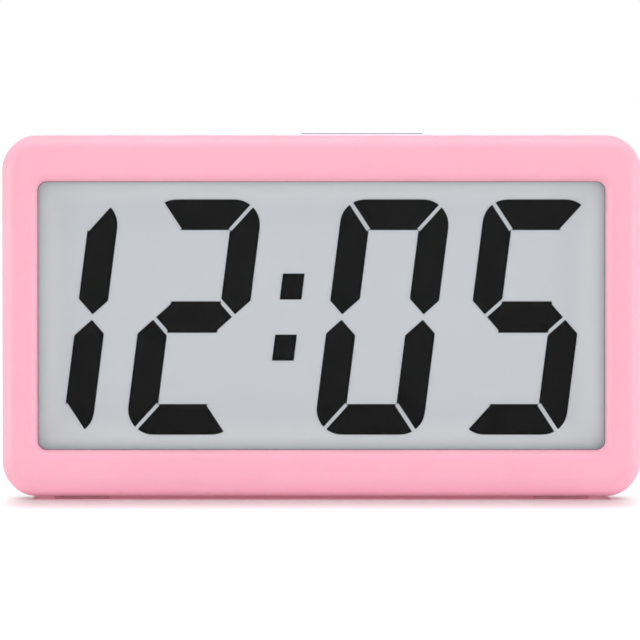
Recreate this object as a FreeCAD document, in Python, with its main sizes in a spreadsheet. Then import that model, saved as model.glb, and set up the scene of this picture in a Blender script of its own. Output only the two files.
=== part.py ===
import FreeCAD, Part
import math
import os
import re
import Sketcher
from FreeCAD import Placement, Vector

# Battery-powered desk clock with a large liquid-crystal display, in millimetres.
# +Z is up, the display faces -Y and the origin is on the table, under the middle of the case.

SIZES = {
    # case
    "frame_side": 9.25,
    "case_corner": 9.2,
    "wall": 2.0,
    "bezel_depth": 12.5,
    "front_wall": 3.2,
    "front_rounding": 4.8,
    "back_rounding": 3.0,
    "lip_height": 2.0,
    "lip_clearance": 0.1,
    "lip_corner_gap": 12.0,
    # rubber pads under the case
    "foot_gap": 0.8,
    "foot_length": 14.0,
    "foot_width": 5.0,
    "foot_recess": 0.5,
    "foot_inset": 20.5,
    "front_foot_inset": 7.9,
    "back_foot_inset": 6.4,
    # window and its clear cover
    "window_width": 146.5,
    "window_height": 69.3,
    "window_corner": 2.3,
    "window_rounding": 3.0,
    "lens_thickness": 1.2,
    "lens_overlap": 4.5,
    "seat_clearance": 0.15,
    "rib_thickness": 1.2,
    "rib_height": 3.0,
    "clip_width": 8.0,
    "clip_spread": 22.0,
    "clip_reach": 0.9,
    "clip_nose": 1.2,
    "clip_clearance": 0.1,
    # display cell
    "glass_thickness": 1.1,
    "crystal_gap": 0.2,
    "seal_width": 1.2,
    "ledge_height": 2.2,
    "reflector_thickness": 0.3,
    "holder_rim": 1.0,
    "holder_plate": 1.0,
    "connector_length": 110.0,
    "connector_thickness": 1.8,
    # digits
    "digit_margin": 4.25,
    "digit_width": 28.1,
    "upright_bar": 7.6,
    "level_bar": 7.9,
    "middle_bar": 8.1,
    "segment_gap": 1.0,
    "segment_corner": 6.5,
    "mitre_angle": 52.0,
    "middle_angle": 45.0,
    "slant_angle": 7.2,
    "digit_pitch": 36.8,
    "colon_pitch": 48.7,
    "digits_offset": 8.55,
    "digits_drop": 0.45,
    "dot_width": 5.6,
    "dot_height": 6.7,
    "dot_rise": 7.9,
    # circuit board and what is soldered to it
    "board_width": 124.0,
    "board_rise": 6.5,
    "board_gap": 1.4,
    "board_thickness": 1.6,
    "hold_width": 6.0,
    "hold_spread": 28.0,
    "hold_arm": 1.2,
    "hold_nose": 0.8,
    "chip_width": 8.0,
    "chip_height": 1.0,
    "chip_across": 5.0,
    "chip_rise": 8.0,
    "crystal_radius": 1.0,
    "crystal_length": 6.0,
    "capacitor_length": 3.2,
    "capacitor_width": 1.6,
    "capacitor_height": 1.1,
    # push switches
    "switch_width": 6.0,
    "switch_height": 3.5,
    "switch_rise": 0.8,
    "plunger_width": 2.4,
    "plunger_depth": 1.9,
    "plunger_clearance": 0.06,
    "plunger_room": 0.2,
    # back buttons
    "button_width": 7.0,
    "button_height": 5.4,
    "button_clearance": 0.2,
    "button_bevel": 0.5,
    "flange_margin": 0.9,
    "flange_thickness": 0.8,
    "flange_gap": 0.1,
    "stem_width": 4.4,
    "stem_web": 1.2,
    "button_inset": 24.0,
    "button_pitch": 11.5,
    "button_drop": 22.2,
    "button_travel": 0.5,
    "control_sink": 0.2,
    "recess_depth": 1.0,
    "recess_margin": 1.6,
    # snooze key
    "key_length": 31.8,
    "key_width": 7.0,
    "key_across": 10.6,
    "key_from_back": 7.6,
    "key_proud": 0.3,
    "key_clearance": 0.2,
    "key_flange": 1.0,
    "key_margin": 1.3,
    "key_back_margin": 0.7,
    "key_travel": 0.6,
    "key_stem_width": 3.4,
    "snooze_switch_height": 6.0,
    "snooze_switch_depth": 3.8,
    "snooze_switch_inset": 0.2,
    "snooze_plunger_rise": 1.5,
    # alarm slider
    "slider_inset": 32.5,
    "slider_drop": 20.0,
    "slider_knob": 5.0,
    "slider_height": 4.0,
    "slider_travel": 3.0,
    "slider_clearance": 0.3,
    "slider_plate": 0.9,
    "slider_plate_length": 15.0,
    "slider_plate_height": 8.0,
    "slider_arm": 3.0,
    "slide_switch_length": 9.0,
    "slide_switch_width": 4.0,
    "slide_switch_height": 3.6,
    "lever_width": 2.0,
    "lever_thickness": 1.6,
    "lever_clearance": 0.2,
    "lever_rise": 1.4,
    "lever_depth": 1.7,
    # buzzer
    "buzzer_inset": 34.5,
    "buzzer_rise": 27.2,
    "buzzer_radius": 6.0,
    "buzzer_height": 9.5,
    "sound_slot_length": 10.0,
    "sound_slot_width": 1.2,
    "sound_slot_pitch": 2.6,
    # screws
    "screw_side_inset": 12.5,
    "screw_inset": 4.75,
    "screw_radius": 1.25,
    "screw_length": 9.5,
    "screw_head_radius": 2.3,
    "screw_head": 1.6,
    "screw_clearance": 0.06,
    "screw_tip_room": 1.0,
    "boss_wall": 1.2,
    "boss_gap": 0.2,
    "counterbore_clearance": 0.3,
    "counterbore_floor": 3.0,
    # cells, bay and cover
    "cell_radius": 5.25,
    "cell_body": 43.3,
    "nub_radius": 1.9,
    "nub_length": 1.2,
    "cell_clearance": 0.3,
    "spring_room": 5.7,
    "bay_wall": 2.8,
    "bay_floor": 1.2,
    "bay_margin": 1.2,
    "bay_rise": 23.7,
    "contact_thickness": 0.4,
    "contact_width": 9.0,
    "tab_width": 3.0,
    "tab_clearance": 0.1,
    "leaf_span": 3.4,
    "leaf_tip": 1.0,
    "leaf_thickness": 0.3,
    "leaf_width": 5.0,
    "cover_thickness": 1.6,
    "cover_lap": 2.2,
    "cover_clearance": 0.25,
    "cover_corner": 1.5,
    "hook_width": 8.0,
    "hook_spread": 16.0,
    "hook_thickness": 1.0,
    "hook_drop": 0.65,
    "hook_reach": 0.8,
    "hook_web": 0.8,
    "hook_clearance": 0.4,
    "hook_room": 0.7,
    "latch_width": 10.0,
    "latch_depth": 1.6,
    "grip_radius": 6.0,
    "grip_depth": 1.2,
    # kickstand
    "stand_width": 36.0,
    "stand_tip_rise": 4.0,
    "stand_gap": 1.7,
    "stand_thickness": 2.4,
    "stand_clearance": 0.4,
    "stand_sink": 0.2,
    "stand_corner": 3.0,
    "stand_drop": 14.5,
    "barrel_radius": 1.8,
    "stand_pin_radius": 1.5,
    "stand_pin_length": 2.0,
    "stand_pin_clearance": 0.06,
    "stand_pocket_wall": 1.2,
    "stand_side_wall": 2.6,
    "stand_rib_height": 1.0,
    "stand_rib_width": 1.2,
    "finger_radius": 7.0,
    "finger_depth": 7.5,
    # keyhole for hanging
    "keyhole_radius": 4.0,
    "keyhole_slot": 4.0,
    "keyhole_drop": 20.9,
    "keyhole_travel": 8.0,
    "keyhole_room": 4.0,
    "keyhole_margin": 3.0,
}

BUTTON_NAMES = ["mode", "set", "up", "down"]
NUMBER_OF_SOUND_SLOTS = 5
FULL_TURN = 360.0
QUARTER_TURN = FULL_TURN / 4
OVERLAP = 0.5  # how far a rib or boss runs into the wall that carries it, so that they fuse
SAME_PLACE = 1e-4  # coordinates nearer to each other than this are one
CELL_ROOMS = 3.7  # clearances above, between and below the two cells, added up
LEAF_ROOT = 1.1  # thickness of a leaf spring along its plate, in thicknesses of the leaf
LEAF_END = 0.6  # the same at the bend, along the end of the cell

# Segments lit in each digit, from the left.
LIT_SEGMENTS = ["bc", "abged", "abcdef", "afgcd"]

# Places worked out from the sizes, as expressions of the sheet.
CASE_WIDTH = "(window_width + 2 * frame_side)"
SIDE = f"({CASE_WIDTH} / 2)"
FRAME_RISE = "(screw_inset + screw_radius + boss_wall + boss_gap + seat_clearance + lens_overlap)"
CASE_HEIGHT = f"(window_height + 2 * {FRAME_RISE})"
DISPLAY_DEPTH = "(lens_thickness + 2 * glass_thickness + crystal_gap + reflector_thickness + holder_plate)"
BAY_DEPTH = "(bay_floor + 2 * cell_radius + 2 * cell_clearance + cover_thickness)"
CASE_DEPTH = f"(front_wall + {DISPLAY_DEPTH} + board_thickness + board_gap + {BAY_DEPTH})"
FRONT = f"(0 - {CASE_DEPTH} / 2)"
BACK = f"({CASE_DEPTH} / 2)"
PARTING = f"({FRONT} + bezel_depth)"
BACK_INSIDE = f"({BACK} - wall)"
BASE = "foot_gap"
TOP = f"(foot_gap + {CASE_HEIGHT})"
MIDDLE = f"(foot_gap + {CASE_HEIGHT} / 2)"
CAVITY_CORNER = "(case_corner - wall)"
CAVITY_WIDTH = f"({CASE_WIDTH} - 2 * wall)"
CAVITY_HEIGHT = f"({CASE_HEIGHT} - 2 * wall)"
FOOT_X = f"({SIDE} - foot_inset)"
LENS_FRONT = f"({FRONT} + front_wall)"
LENS_BACK = f"({LENS_FRONT} + lens_thickness)"
LENS_WIDTH = "(window_width + 2 * lens_overlap)"
LENS_HEIGHT = "(window_height + 2 * lens_overlap)"
SEGMENTS_FRONT = f"({LENS_BACK} + glass_thickness)"
SEGMENTS_BACK = f"({SEGMENTS_FRONT} + crystal_gap)"
REAR_GLASS_BACK = f"({SEGMENTS_BACK} + glass_thickness)"
SEAT_WIDTH = f"({LENS_WIDTH} + 2 * seat_clearance)"
SEAT_HEIGHT = f"({LENS_HEIGHT} + 2 * seat_clearance)"
RIB_ACROSS = f"({SEAT_WIDTH} + 2 * rib_thickness)"
RIB_UP = f"({SEAT_HEIGHT} + 2 * rib_thickness)"
HOLDER_FRONT = f"({REAR_GLASS_BACK} + reflector_thickness)"
BOARD_FRONT = f"({HOLDER_FRONT} + holder_plate)"
BOARD_BACK = f"({BOARD_FRONT} + board_thickness)"
GLASS_WIDTH = f"({LENS_WIDTH} - 2 * (holder_rim + seat_clearance))"
GLASS_HEIGHT = f"({LENS_HEIGHT} - 2 * (holder_rim + seat_clearance))"
REAR_GLASS_HEIGHT = f"({GLASS_HEIGHT} - ledge_height)"
REAR_GLASS_MIDDLE = f"({MIDDLE} - ledge_height / 2)"
LEDGE_MIDDLE = f"({MIDDLE} + {GLASS_HEIGHT} / 2 - ledge_height / 2)"
HOLDER_TOP = f"({MIDDLE} + {LENS_HEIGHT} / 2)"
HOLDER_BOTTOM = f"({MIDDLE} - {LENS_HEIGHT} / 2)"
BOARD_TOP = f"({HOLDER_TOP} - 2 * seat_clearance)"
BOARD_BOTTOM = f"({HOLDER_BOTTOM} + board_rise)"
BOARD_MIDDLE = f"(({BOARD_TOP} + {BOARD_BOTTOM}) / 2)"
SCREW_X = f"({SIDE} - screw_side_inset)"
SCREW_LOW = f"({BASE} + screw_inset)"
SCREW_HIGH = f"({TOP} - screw_inset)"
BEZEL_BOSS = "(screw_radius + boss_wall)"
COUNTERBORE = "(screw_head_radius + counterbore_clearance)"
HOUSING_BOSS = f"({COUNTERBORE} + boss_wall)"
SCREW_SEAT = f"({PARTING} + counterbore_floor)"
PLUNGER_HOLE = "(plunger_width + 2 * plunger_clearance)"
SWITCH_BACK = f"({BOARD_BACK} + switch_height)"
BUTTON_ROW = f"({TOP} - button_drop)"
BUTTON_XS = [f"({SIDE} - button_inset - {index} * button_pitch)" for index in (3, 2, 1, 0)]
BUTTON_MIDDLE = f"(({BUTTON_XS[0]} + {BUTTON_XS[-1]}) / 2)"
CONTROL_BACK = f"({BACK} - control_sink)"
KEY_MIDDLE = f"({BACK} - key_from_back)"
KEY_TOP = f"({TOP} + key_proud)"
KEY_FLANGE_TOP = f"({TOP} - wall - key_clearance / 4)"
SNOOZE_AXIS = f"({BOARD_BACK} + snooze_switch_depth / 2)"
SNOOZE_TOP = f"({BOARD_TOP} - snooze_switch_inset)"
SLIDER_X = f"({SIDE} - slider_inset)"
SLIDER_Z = f"({BUTTON_ROW} - slider_drop)"
BUZZER_X = f"({SIDE} - buzzer_inset)"
BUZZER_Z = f"({BASE} + buzzer_rise)"
BAY_LENGTH = "(2 * contact_thickness + nub_length + cell_body + spring_room)"
BAY_X = f"(0 - {SIDE} + wall + bay_margin + bay_wall + {BAY_LENGTH} / 2)"
BAY_Z = f"({BASE} + bay_rise)"
BAY_HEIGHT = f"(4 * cell_radius + {CELL_ROOMS} * cell_clearance)"
COVER_INSIDE = f"({BACK} - cover_thickness)"
CELL_AXIS = f"({COVER_INSIDE} - cell_clearance - cell_radius)"
BAY_INSIDE = f"({CELL_AXIS} - cell_radius - cell_clearance)"
BAY_FRONT = f"({BAY_INSIDE} - bay_floor)"
CELL_PITCH = "(2 * cell_radius + 2 * cell_clearance)"
BAY_RIGHT = f"({BAY_X} + {BAY_LENGTH} / 2)"
BAY_LEFT = f"({BAY_X} - {BAY_LENGTH} / 2)"
COVER_LENGTH = f"({BAY_LENGTH} + 2 * cover_lap)"
COVER_HEIGHT = f"({BAY_HEIGHT} + 2 * cover_lap)"
BAY_BOTTOM = f"({BAY_Z} - {BAY_HEIGHT} / 2)"
BAY_TOP = f"({BAY_Z} + {BAY_HEIGHT} / 2)"
KEYHOLE_Z = f"({TOP} - keyhole_drop)"
STAND_POCKET_WIDTH = "(stand_width + 2 * stand_clearance)"
STAND_X = f"({BAY_RIGHT} + bay_wall + stand_gap + stand_side_wall + {STAND_POCKET_WIDTH} / 2)"
STAND_Z = f"({KEYHOLE_Z} - stand_drop)"
STAND_Y = f"({BACK} - stand_sink - barrel_radius)"
STAND_BACK = f"({BACK} - stand_sink)"
STAND_FRONT = f"({STAND_BACK} - stand_thickness)"
STAND_TIP = f"({BASE} + stand_tip_rise)"
STAND_POCKET = f"({STAND_Y} - barrel_radius - stand_clearance)"
STAND_POCKET_TOP = f"({STAND_Z} + barrel_radius + stand_clearance)"
STAND_POCKET_BOTTOM = f"({STAND_TIP} - stand_clearance)"
FINGER_TOP = f"({STAND_TIP} + finger_radius + stand_clearance)"
FINGER_FLOOR = f"({BACK} - finger_depth)"

document = FreeCAD.newDocument("clock")
sheet = document.addObject("Spreadsheet::Sheet", "Sizes")
parts = []


def fill_sheet():
    """Write each driving dimension into a cell of its own and name the cell."""
    for row, (alias, number) in enumerate(SIZES.items(), start=1):
        sheet.set(f"A{row}", alias)
        sheet.set(f"B{row}", str(number))
        sheet.setAlias(f"B{row}", alias)
    document.recompute()


def bound(expression):
    """Return an expression with each size pointed at its cell in the sheet."""
    return re.sub(r"[a-z_]+[a-z]", lambda name: "Sizes." + name.group(0), str(expression))


def value(expression):
    """Return the number that an expression has with the present sizes."""
    return float(sheet.evalExpression(bound(expression)))


def new_body(name):
    """Start a sub-part, whose label is also the name of its file."""
    body = document.addObject("PartDesign::Body", name)
    body.Label = name
    parts.append(body)
    return body


def new_sketch(body, plane, across="0", up="0", out="0"):
    """Add a sketch on one of the body's own planes, moved by three offsets in that plane's axes."""
    sketch = body.newObject("Sketcher::SketchObject", body.Name + "_sketch")
    for feature in body.Origin.OriginFeatures:
        if feature.Role == plane:
            sketch.AttachmentSupport = (feature, [""])
    sketch.MapMode = "FlatFace"
    sketch.setExpression("AttachmentOffset.Base.x", bound(across))
    sketch.setExpression("AttachmentOffset.Base.y", bound(up))
    sketch.setExpression("AttachmentOffset.Base.z", bound(out))
    return sketch


def facing_sketch(body, y, x="0", z="0"):
    """Add a sketch parallel to the display, at a depth y, with its centre at x and z."""
    return new_sketch(body, "XZ_Plane", x, z, f"0 - ({y})")


def level_sketch(body, z, x="0", y="0"):
    """Add a level sketch at a height z, with its centre at x and y."""
    return new_sketch(body, "XY_Plane", x, y, z)


def side_sketch(body, x, y="0", z="0"):
    """Add a sketch seen from the side, at x, with its centre at y and z."""
    return new_sketch(body, "YZ_Plane", y, z, x)


def hold(sketch, kind, *elements, size):
    """Add a dimension to a sketch and bind it to the sheet."""
    index = sketch.addConstraint(Sketcher.Constraint(kind, *elements, value(size)))
    sketch.setExpression(f"Constraints[{index}]", bound(size))


def draw_polygon(sketch, corners):
    """Draw a closed polygon whose corners are pairs of expressions."""
    first = sketch.GeometryCount
    count = len(corners)
    points = [Vector(value(u), value(v), 0) for u, v in corners]
    for index in range(count):
        sketch.addGeometry(Part.LineSegment(points[index], points[(index + 1) % count]))
    for index in range(count):
        following = first + (index + 1) % count
        sketch.addConstraint(Sketcher.Constraint("Coincident", first + index, 2, following, 1))
    for index, (u, v) in enumerate(corners):
        hold(sketch, "DistanceX", -1, 1, first + index, 1, size=u)
        hold(sketch, "DistanceY", -1, 1, first + index, 1, size=v)


def draw_box(sketch, width, height, u="0", v="0"):
    """Draw a rectangle with its centre at u and v."""
    left, right = f"{u} - ({width}) / 2", f"{u} + ({width}) / 2"
    low, high = f"{v} - ({height}) / 2", f"{v} + ({height}) / 2"
    draw_polygon(sketch, [(left, low), (right, low), (right, high), (left, high)])


def draw_span(sketch, left, right, low, high):
    """Draw a rectangle between two values of u and two of v."""
    draw_polygon(sketch, [(left, low), (right, low), (right, high), (left, high)])


def draw_cross(sketch, span, web, u="0", v="0"):
    """Draw an upright cross with its centre at u and v."""
    far, near = f"({span}) / 2", f"({web}) / 2"
    back_far, back_near = f"0 - {far}", f"0 - {near}"
    places = [
        (far, back_near), (far, near), (near, near), (near, far),
        (back_near, far), (back_near, near), (back_far, near), (back_far, back_near),
        (back_near, back_near), (back_near, back_far), (near, back_far), (near, back_near),
    ]
    draw_polygon(sketch, [(f"{u} + {across}", f"{v} + {up}") for across, up in places])


def draw_circle(sketch, radius, u="0", v="0"):
    """Draw a circle with its centre at u and v."""
    centre = Vector(value(u), value(v), 0)
    index = sketch.addGeometry(Part.Circle(centre, Vector(0, 0, 1), value(radius)))
    hold(sketch, "DistanceX", -1, 1, index, 3, size=u)
    hold(sketch, "DistanceY", -1, 1, index, 3, size=v)
    hold(sketch, "Radius", index, size=radius)


def draw_slot(sketch, radius, length):
    """Draw an upright slot with round ends, the lower one about the sketch's centre."""
    low, high = Vector(0, 0, 0), Vector(0, value(length), 0)
    size = value(radius)
    for centre, start in ((low, math.pi), (high, 0.0)):
        circle = Part.Circle(centre, Vector(0, 0, 1), size)
        sketch.addGeometry(Part.ArcOfCircle(circle, start, start + math.pi))
    right = sketch.addGeometry(Part.LineSegment(Vector(size, 0, 0), Vector(size, high.y, 0)))
    left = sketch.addGeometry(Part.LineSegment(Vector(-size, high.y, 0), Vector(-size, 0, 0)))
    for first, second in ((0, right), (right, 1), (1, left), (left, 0)):
        sketch.addConstraint(Sketcher.Constraint("Tangent", first, 2, second, 1))
    hold(sketch, "DistanceX", -1, 1, 0, 3, size="0")
    hold(sketch, "DistanceY", -1, 1, 0, 3, size="0")
    hold(sketch, "DistanceX", -1, 1, 1, 3, size="0")
    hold(sketch, "DistanceY", -1, 1, 1, 3, size=length)
    hold(sketch, "Radius", 0, size=radius)


def draw_rounded_box(sketch, width, height, corner, u="0", v="0"):
    """Draw a rectangle with round corners and its centre at u and v."""
    first = sketch.GeometryCount
    half_width, half_height, radius = value(width) / 2, value(height) / 2, value(corner)
    cu, cv = value(u), value(v)
    corners = [(1, -1, 270), (1, 1, 0), (-1, 1, 90), (-1, -1, 180)]
    for side, rise, start in corners:
        centre = Vector(cu + side * (half_width - radius), cv + rise * (half_height - radius), 0)
        circle = Part.Circle(centre, Vector(0, 0, 1), radius)
        arc = Part.ArcOfCircle(circle, math.radians(start), math.radians(start + QUARTER_TURN))
        sketch.addGeometry(arc)
    for index in range(4):
        begin = sketch.getPoint(first + index, 2)
        end = sketch.getPoint(first + (index + 1) % 4, 1)
        sketch.addGeometry(Part.LineSegment(begin, end))
    for index in range(4):
        line = first + 4 + index
        sketch.addConstraint(Sketcher.Constraint("Tangent", first + index, 2, line, 1))
        sketch.addConstraint(Sketcher.Constraint("Tangent", line, 2, first + (index + 1) % 4, 1))
        direction = "Vertical" if index % 2 == 0 else "Horizontal"
        sketch.addConstraint(Sketcher.Constraint(direction, line))
    for index in range(1, 4):
        sketch.addConstraint(Sketcher.Constraint("Equal", first, first + index))
    right, upper, left, lower = first + 4, first + 5, first + 6, first + 7
    hold(sketch, "DistanceX", -1, 1, left, 1, size=f"{u} - ({width}) / 2")
    hold(sketch, "DistanceX", -1, 1, right, 1, size=f"{u} + ({width}) / 2")
    hold(sketch, "DistanceY", -1, 1, lower, 1, size=f"{v} - ({height}) / 2")
    hold(sketch, "DistanceY", -1, 1, upper, 1, size=f"{v} + ({height}) / 2")
    hold(sketch, "Radius", first, size=corner)


def pad(body, sketch, length, backwards=False, both_ways=False):
    """Extrude a sketch along its normal, or against it, or evenly to both sides."""
    feature = body.newObject("PartDesign::Pad", body.Name + "_pad")
    feature.Profile = sketch
    feature.setExpression("Length", bound(length))
    feature.Reversed = backwards
    feature.Midplane = both_ways
    document.recompute()
    return feature


def pocket(body, sketch, length, backwards=False, both_ways=False):
    """Cut a sketch into the body against its normal, and make sure that something is cut."""
    before = body.Shape.Volume
    feature = body.newObject("PartDesign::Pocket", body.Name + "_pocket")
    feature.Profile = sketch
    feature.setExpression("Length", bound(length))
    feature.Reversed = backwards
    feature.Midplane = both_ways
    document.recompute()
    if body.Shape.Volume >= before:
        raise RuntimeError(f"{feature.Name} cuts nothing")
    return feature


def turn(body, sketch, axis):
    """Turn a sketch once round its own V_Axis or H_Axis."""
    feature = body.newObject("PartDesign::Revolution", body.Name + "_turned")
    feature.Profile = sketch
    feature.ReferenceAxis = (sketch, [axis])
    feature.Angle = FULL_TURN
    document.recompute()
    return feature


def edges_where(feature, wanted):
    """Return the names of the edges whose bounding box passes a test."""
    names = []
    for index, edge in enumerate(feature.Shape.Edges, start=1):
        if wanted(edge.BoundBox):
            names.append(f"Edge{index}")
    return names


def round_edges(body, feature, wanted, radius):
    """Fillet the edges of a feature that pass a test."""
    fillet = body.newObject("PartDesign::Fillet", body.Name + "_fillet")
    fillet.Base = (feature, edges_where(feature, wanted))
    fillet.setExpression("Radius", bound(radius))
    document.recompute()
    return fillet


def bevel_edges(body, feature, wanted, size):
    """Chamfer the edges of a feature that pass a test."""
    chamfer = body.newObject("PartDesign::Chamfer", body.Name + "_chamfer")
    chamfer.Base = (feature, edges_where(feature, wanted))
    chamfer.setExpression("Size", bound(size))
    document.recompute()
    return chamfer


def lies_at_depth(y):
    """Return a test for edges in the plane parallel to the display at a depth y."""
    depth = value(y)
    return lambda box: abs(box.YMin - depth) < SAME_PLACE and abs(box.YMax - depth) < SAME_PLACE


# ---------------------------------------------------------------- case


def make_front_bezel():
    """Front moulding: a rounded frame with a rib and clips round the window, and four screw bosses."""
    body = new_body("front_bezel")
    sketch = facing_sketch(body, FRONT, z=MIDDLE)
    draw_rounded_box(sketch, CASE_WIDTH, CASE_HEIGHT, "case_corner")
    block = pad(body, sketch, "bezel_depth", backwards=True)
    round_edges(body, block, lies_at_depth(FRONT), "front_rounding")
    sketch = facing_sketch(body, PARTING, z=MIDDLE)
    draw_rounded_box(sketch, CAVITY_WIDTH, CAVITY_HEIGHT, CAVITY_CORNER)
    pocket(body, sketch, "bezel_depth - front_wall", backwards=True)
    sketch = facing_sketch(body, PARTING, z=MIDDLE)
    draw_rounded_box(sketch, f"{CASE_WIDTH} - wall", f"{CASE_HEIGHT} - wall", "case_corner - wall / 2")
    pocket(body, sketch, "lip_height + lip_clearance", backwards=True)
    sketch = facing_sketch(body, LENS_FRONT, z=MIDDLE)
    draw_rounded_box(sketch, "window_width", "window_height", "window_corner")
    window = pocket(body, sketch, "front_wall", backwards=True)
    half_width = value("window_width + frame_side") / 2
    at_front = lies_at_depth(FRONT)
    round_edges(body, window, lambda box: at_front(box) and box.XMax < half_width, "window_rounding")
    add_window_rib(body)
    add_bezel_bosses(body)
    add_foot_seats(body, f"{FRONT} + front_foot_inset")


def add_window_rib(body):
    """Add the rib that holds the window, and the four clips that hold the display holder behind it."""
    sketch = facing_sketch(body, LENS_FRONT, z=MIDDLE)
    draw_box(sketch, RIB_ACROSS, RIB_UP)
    draw_box(sketch, SEAT_WIDTH, SEAT_HEIGHT)
    pad(body, sketch, "rib_height", backwards=True)
    arms = facing_sketch(body, LENS_FRONT)
    noses = facing_sketch(body, f"{BOARD_FRONT} + clip_clearance")
    for side in ("(0 - 1)", "1"):
        inner, outer = f"{side} * {SEAT_WIDTH} / 2", f"{side} * {RIB_ACROSS} / 2"
        tip = f"{side} * ({LENS_WIDTH} / 2 - clip_reach)"
        for z in (f"({MIDDLE} - clip_spread)", f"({MIDDLE} + clip_spread)"):
            low, high = f"{z} - clip_width / 2", f"{z} + clip_width / 2"
            draw_span(arms, inner, outer, low, high)
            draw_span(noses, tip, outer, low, high)
    pad(body, arms, f"{BOARD_FRONT} + clip_clearance + clip_nose - {LENS_FRONT}", backwards=True)
    pad(body, noses, "clip_nose", backwards=True)


def add_bezel_bosses(body):
    """Add the four square bosses that take the case screws, with their pilot holes."""
    bosses = facing_sketch(body, PARTING)
    holes = facing_sketch(body, PARTING)
    for x in (f"(0 - {SCREW_X})", SCREW_X):
        for z in (SCREW_LOW, SCREW_HIGH):
            draw_box(bosses, f"2 * {BEZEL_BOSS}", f"2 * {BEZEL_BOSS}", x, z)
            draw_circle(holes, "screw_radius + screw_clearance", x, z)
    pad(body, bosses, f"bezel_depth - front_wall + {OVERLAP}")
    pocket(body, holes, "screw_length - counterbore_floor + screw_tip_room", backwards=True)


def add_foot_seats(body, y):
    """Sink two shallow seats for the rubber pads into the underside."""
    sketch = level_sketch(body, BASE, y=y)
    for x in (f"(0 - {FOOT_X})", FOOT_X):
        draw_box(sketch, "foot_length + 2 * seat_clearance", "foot_width + 2 * seat_clearance", x)
    pocket(body, sketch, "foot_recess", backwards=True)


def make_rear_housing():
    """Rear moulding: the shell with its lip, battery bay, stand recess, bosses and openings."""
    body = new_body("rear_housing")
    sketch = facing_sketch(body, PARTING, z=MIDDLE)
    draw_rounded_box(sketch, CASE_WIDTH, CASE_HEIGHT, "case_corner")
    block = pad(body, sketch, f"{CASE_DEPTH} - bezel_depth", backwards=True)
    round_edges(body, block, lies_at_depth(BACK), "back_rounding")
    sketch = facing_sketch(body, PARTING, z=MIDDLE)
    draw_rounded_box(sketch, CAVITY_WIDTH, CAVITY_HEIGHT, CAVITY_CORNER)
    pocket(body, sketch, f"{BACK_INSIDE} - {PARTING}")
    add_lips(body)
    add_bay_wall(body)
    add_stand_walls(body)
    add_housing_bosses(body)
    add_bay_and_cover_seat(body)
    add_stand_recess(body)
    add_screw_holes(body)
    add_button_openings(body)
    add_slider_opening(body)
    add_sound_slots(body)
    add_snooze_opening(body)
    add_keyhole(body)
    add_foot_seats(body, f"{BACK} - back_foot_inset")


def add_lips(body):
    """Add the four lips that reach into the rebate of the front moulding, one along each side."""
    sketch = facing_sketch(body, f"({PARTING} - lip_height)", z=MIDDLE)
    thickness = "(wall / 2 - lip_clearance)"
    half_length = f"({CASE_WIDTH} / 2 - lip_corner_gap)"
    half_rise = f"({CASE_HEIGHT} / 2 - lip_corner_gap)"
    for side in ("(0 - 1)", "1"):
        inner = f"{side} * {CAVITY_WIDTH} / 2"
        draw_span(sketch, inner, f"{inner} + {side} * {thickness}", f"0 - {half_rise}", half_rise)
        inner = f"{side} * {CAVITY_HEIGHT} / 2"
        draw_span(sketch, f"0 - {half_length}", half_length, inner, f"{inner} + {side} * {thickness}")
    pad(body, sketch, f"lip_height + {OVERLAP}", backwards=True)


def add_bay_wall(body):
    """Add the box inside the shell that the battery bay is cut into."""
    sketch = facing_sketch(body, BAY_FRONT, x=BAY_X, z=BAY_Z)
    draw_box(sketch, f"({BAY_LENGTH} + 2 * bay_wall)", f"({BAY_HEIGHT} + 2 * bay_wall)")
    pad(body, sketch, f"{BACK_INSIDE} + {OVERLAP} - {BAY_FRONT}", backwards=True)


def add_stand_walls(body):
    """Add the boxes inside the shell round the stand's recess, its fingertip place and the keyhole."""
    half_width = f"({STAND_POCKET_WIDTH} / 2 + stand_side_wall)"
    half_finger = "(finger_radius + stand_pocket_wall + stand_clearance)"
    half_keyhole = "(keyhole_radius + keyhole_margin)"
    boxes = [
        (STAND_POCKET, STAND_X, half_width, STAND_POCKET_BOTTOM, STAND_POCKET_TOP),
        (FINGER_FLOOR, STAND_X, half_finger, STAND_POCKET_BOTTOM, FINGER_TOP),
        (f"({BACK_INSIDE} - keyhole_room)", "0", half_keyhole,
         f"{KEYHOLE_Z} - {half_keyhole} + stand_pocket_wall",
         f"{KEYHOLE_Z} + keyhole_travel + {half_keyhole} - stand_pocket_wall"),
    ]
    for floor, x, half, low, high in boxes:
        start = f"({floor} - stand_pocket_wall)"
        sketch = facing_sketch(body, start)
        draw_span(sketch, f"{x} - {half}", f"{x} + {half}", f"{low} - stand_pocket_wall",
                  f"{high} + stand_pocket_wall")
        pad(body, sketch, f"{BACK_INSIDE} + {OVERLAP} - {start}", backwards=True)


def add_housing_bosses(body):
    """Add the four square pillars that the case screws pass through."""
    sketch = facing_sketch(body, PARTING)
    for x in (f"(0 - {SCREW_X})", SCREW_X):
        for z in (SCREW_LOW, SCREW_HIGH):
            draw_box(sketch, f"2 * {HOUSING_BOSS}", f"2 * {HOUSING_BOSS}", x, z)
    pad(body, sketch, f"{BACK_INSIDE} + {OVERLAP} - {PARTING}", backwards=True)


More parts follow.
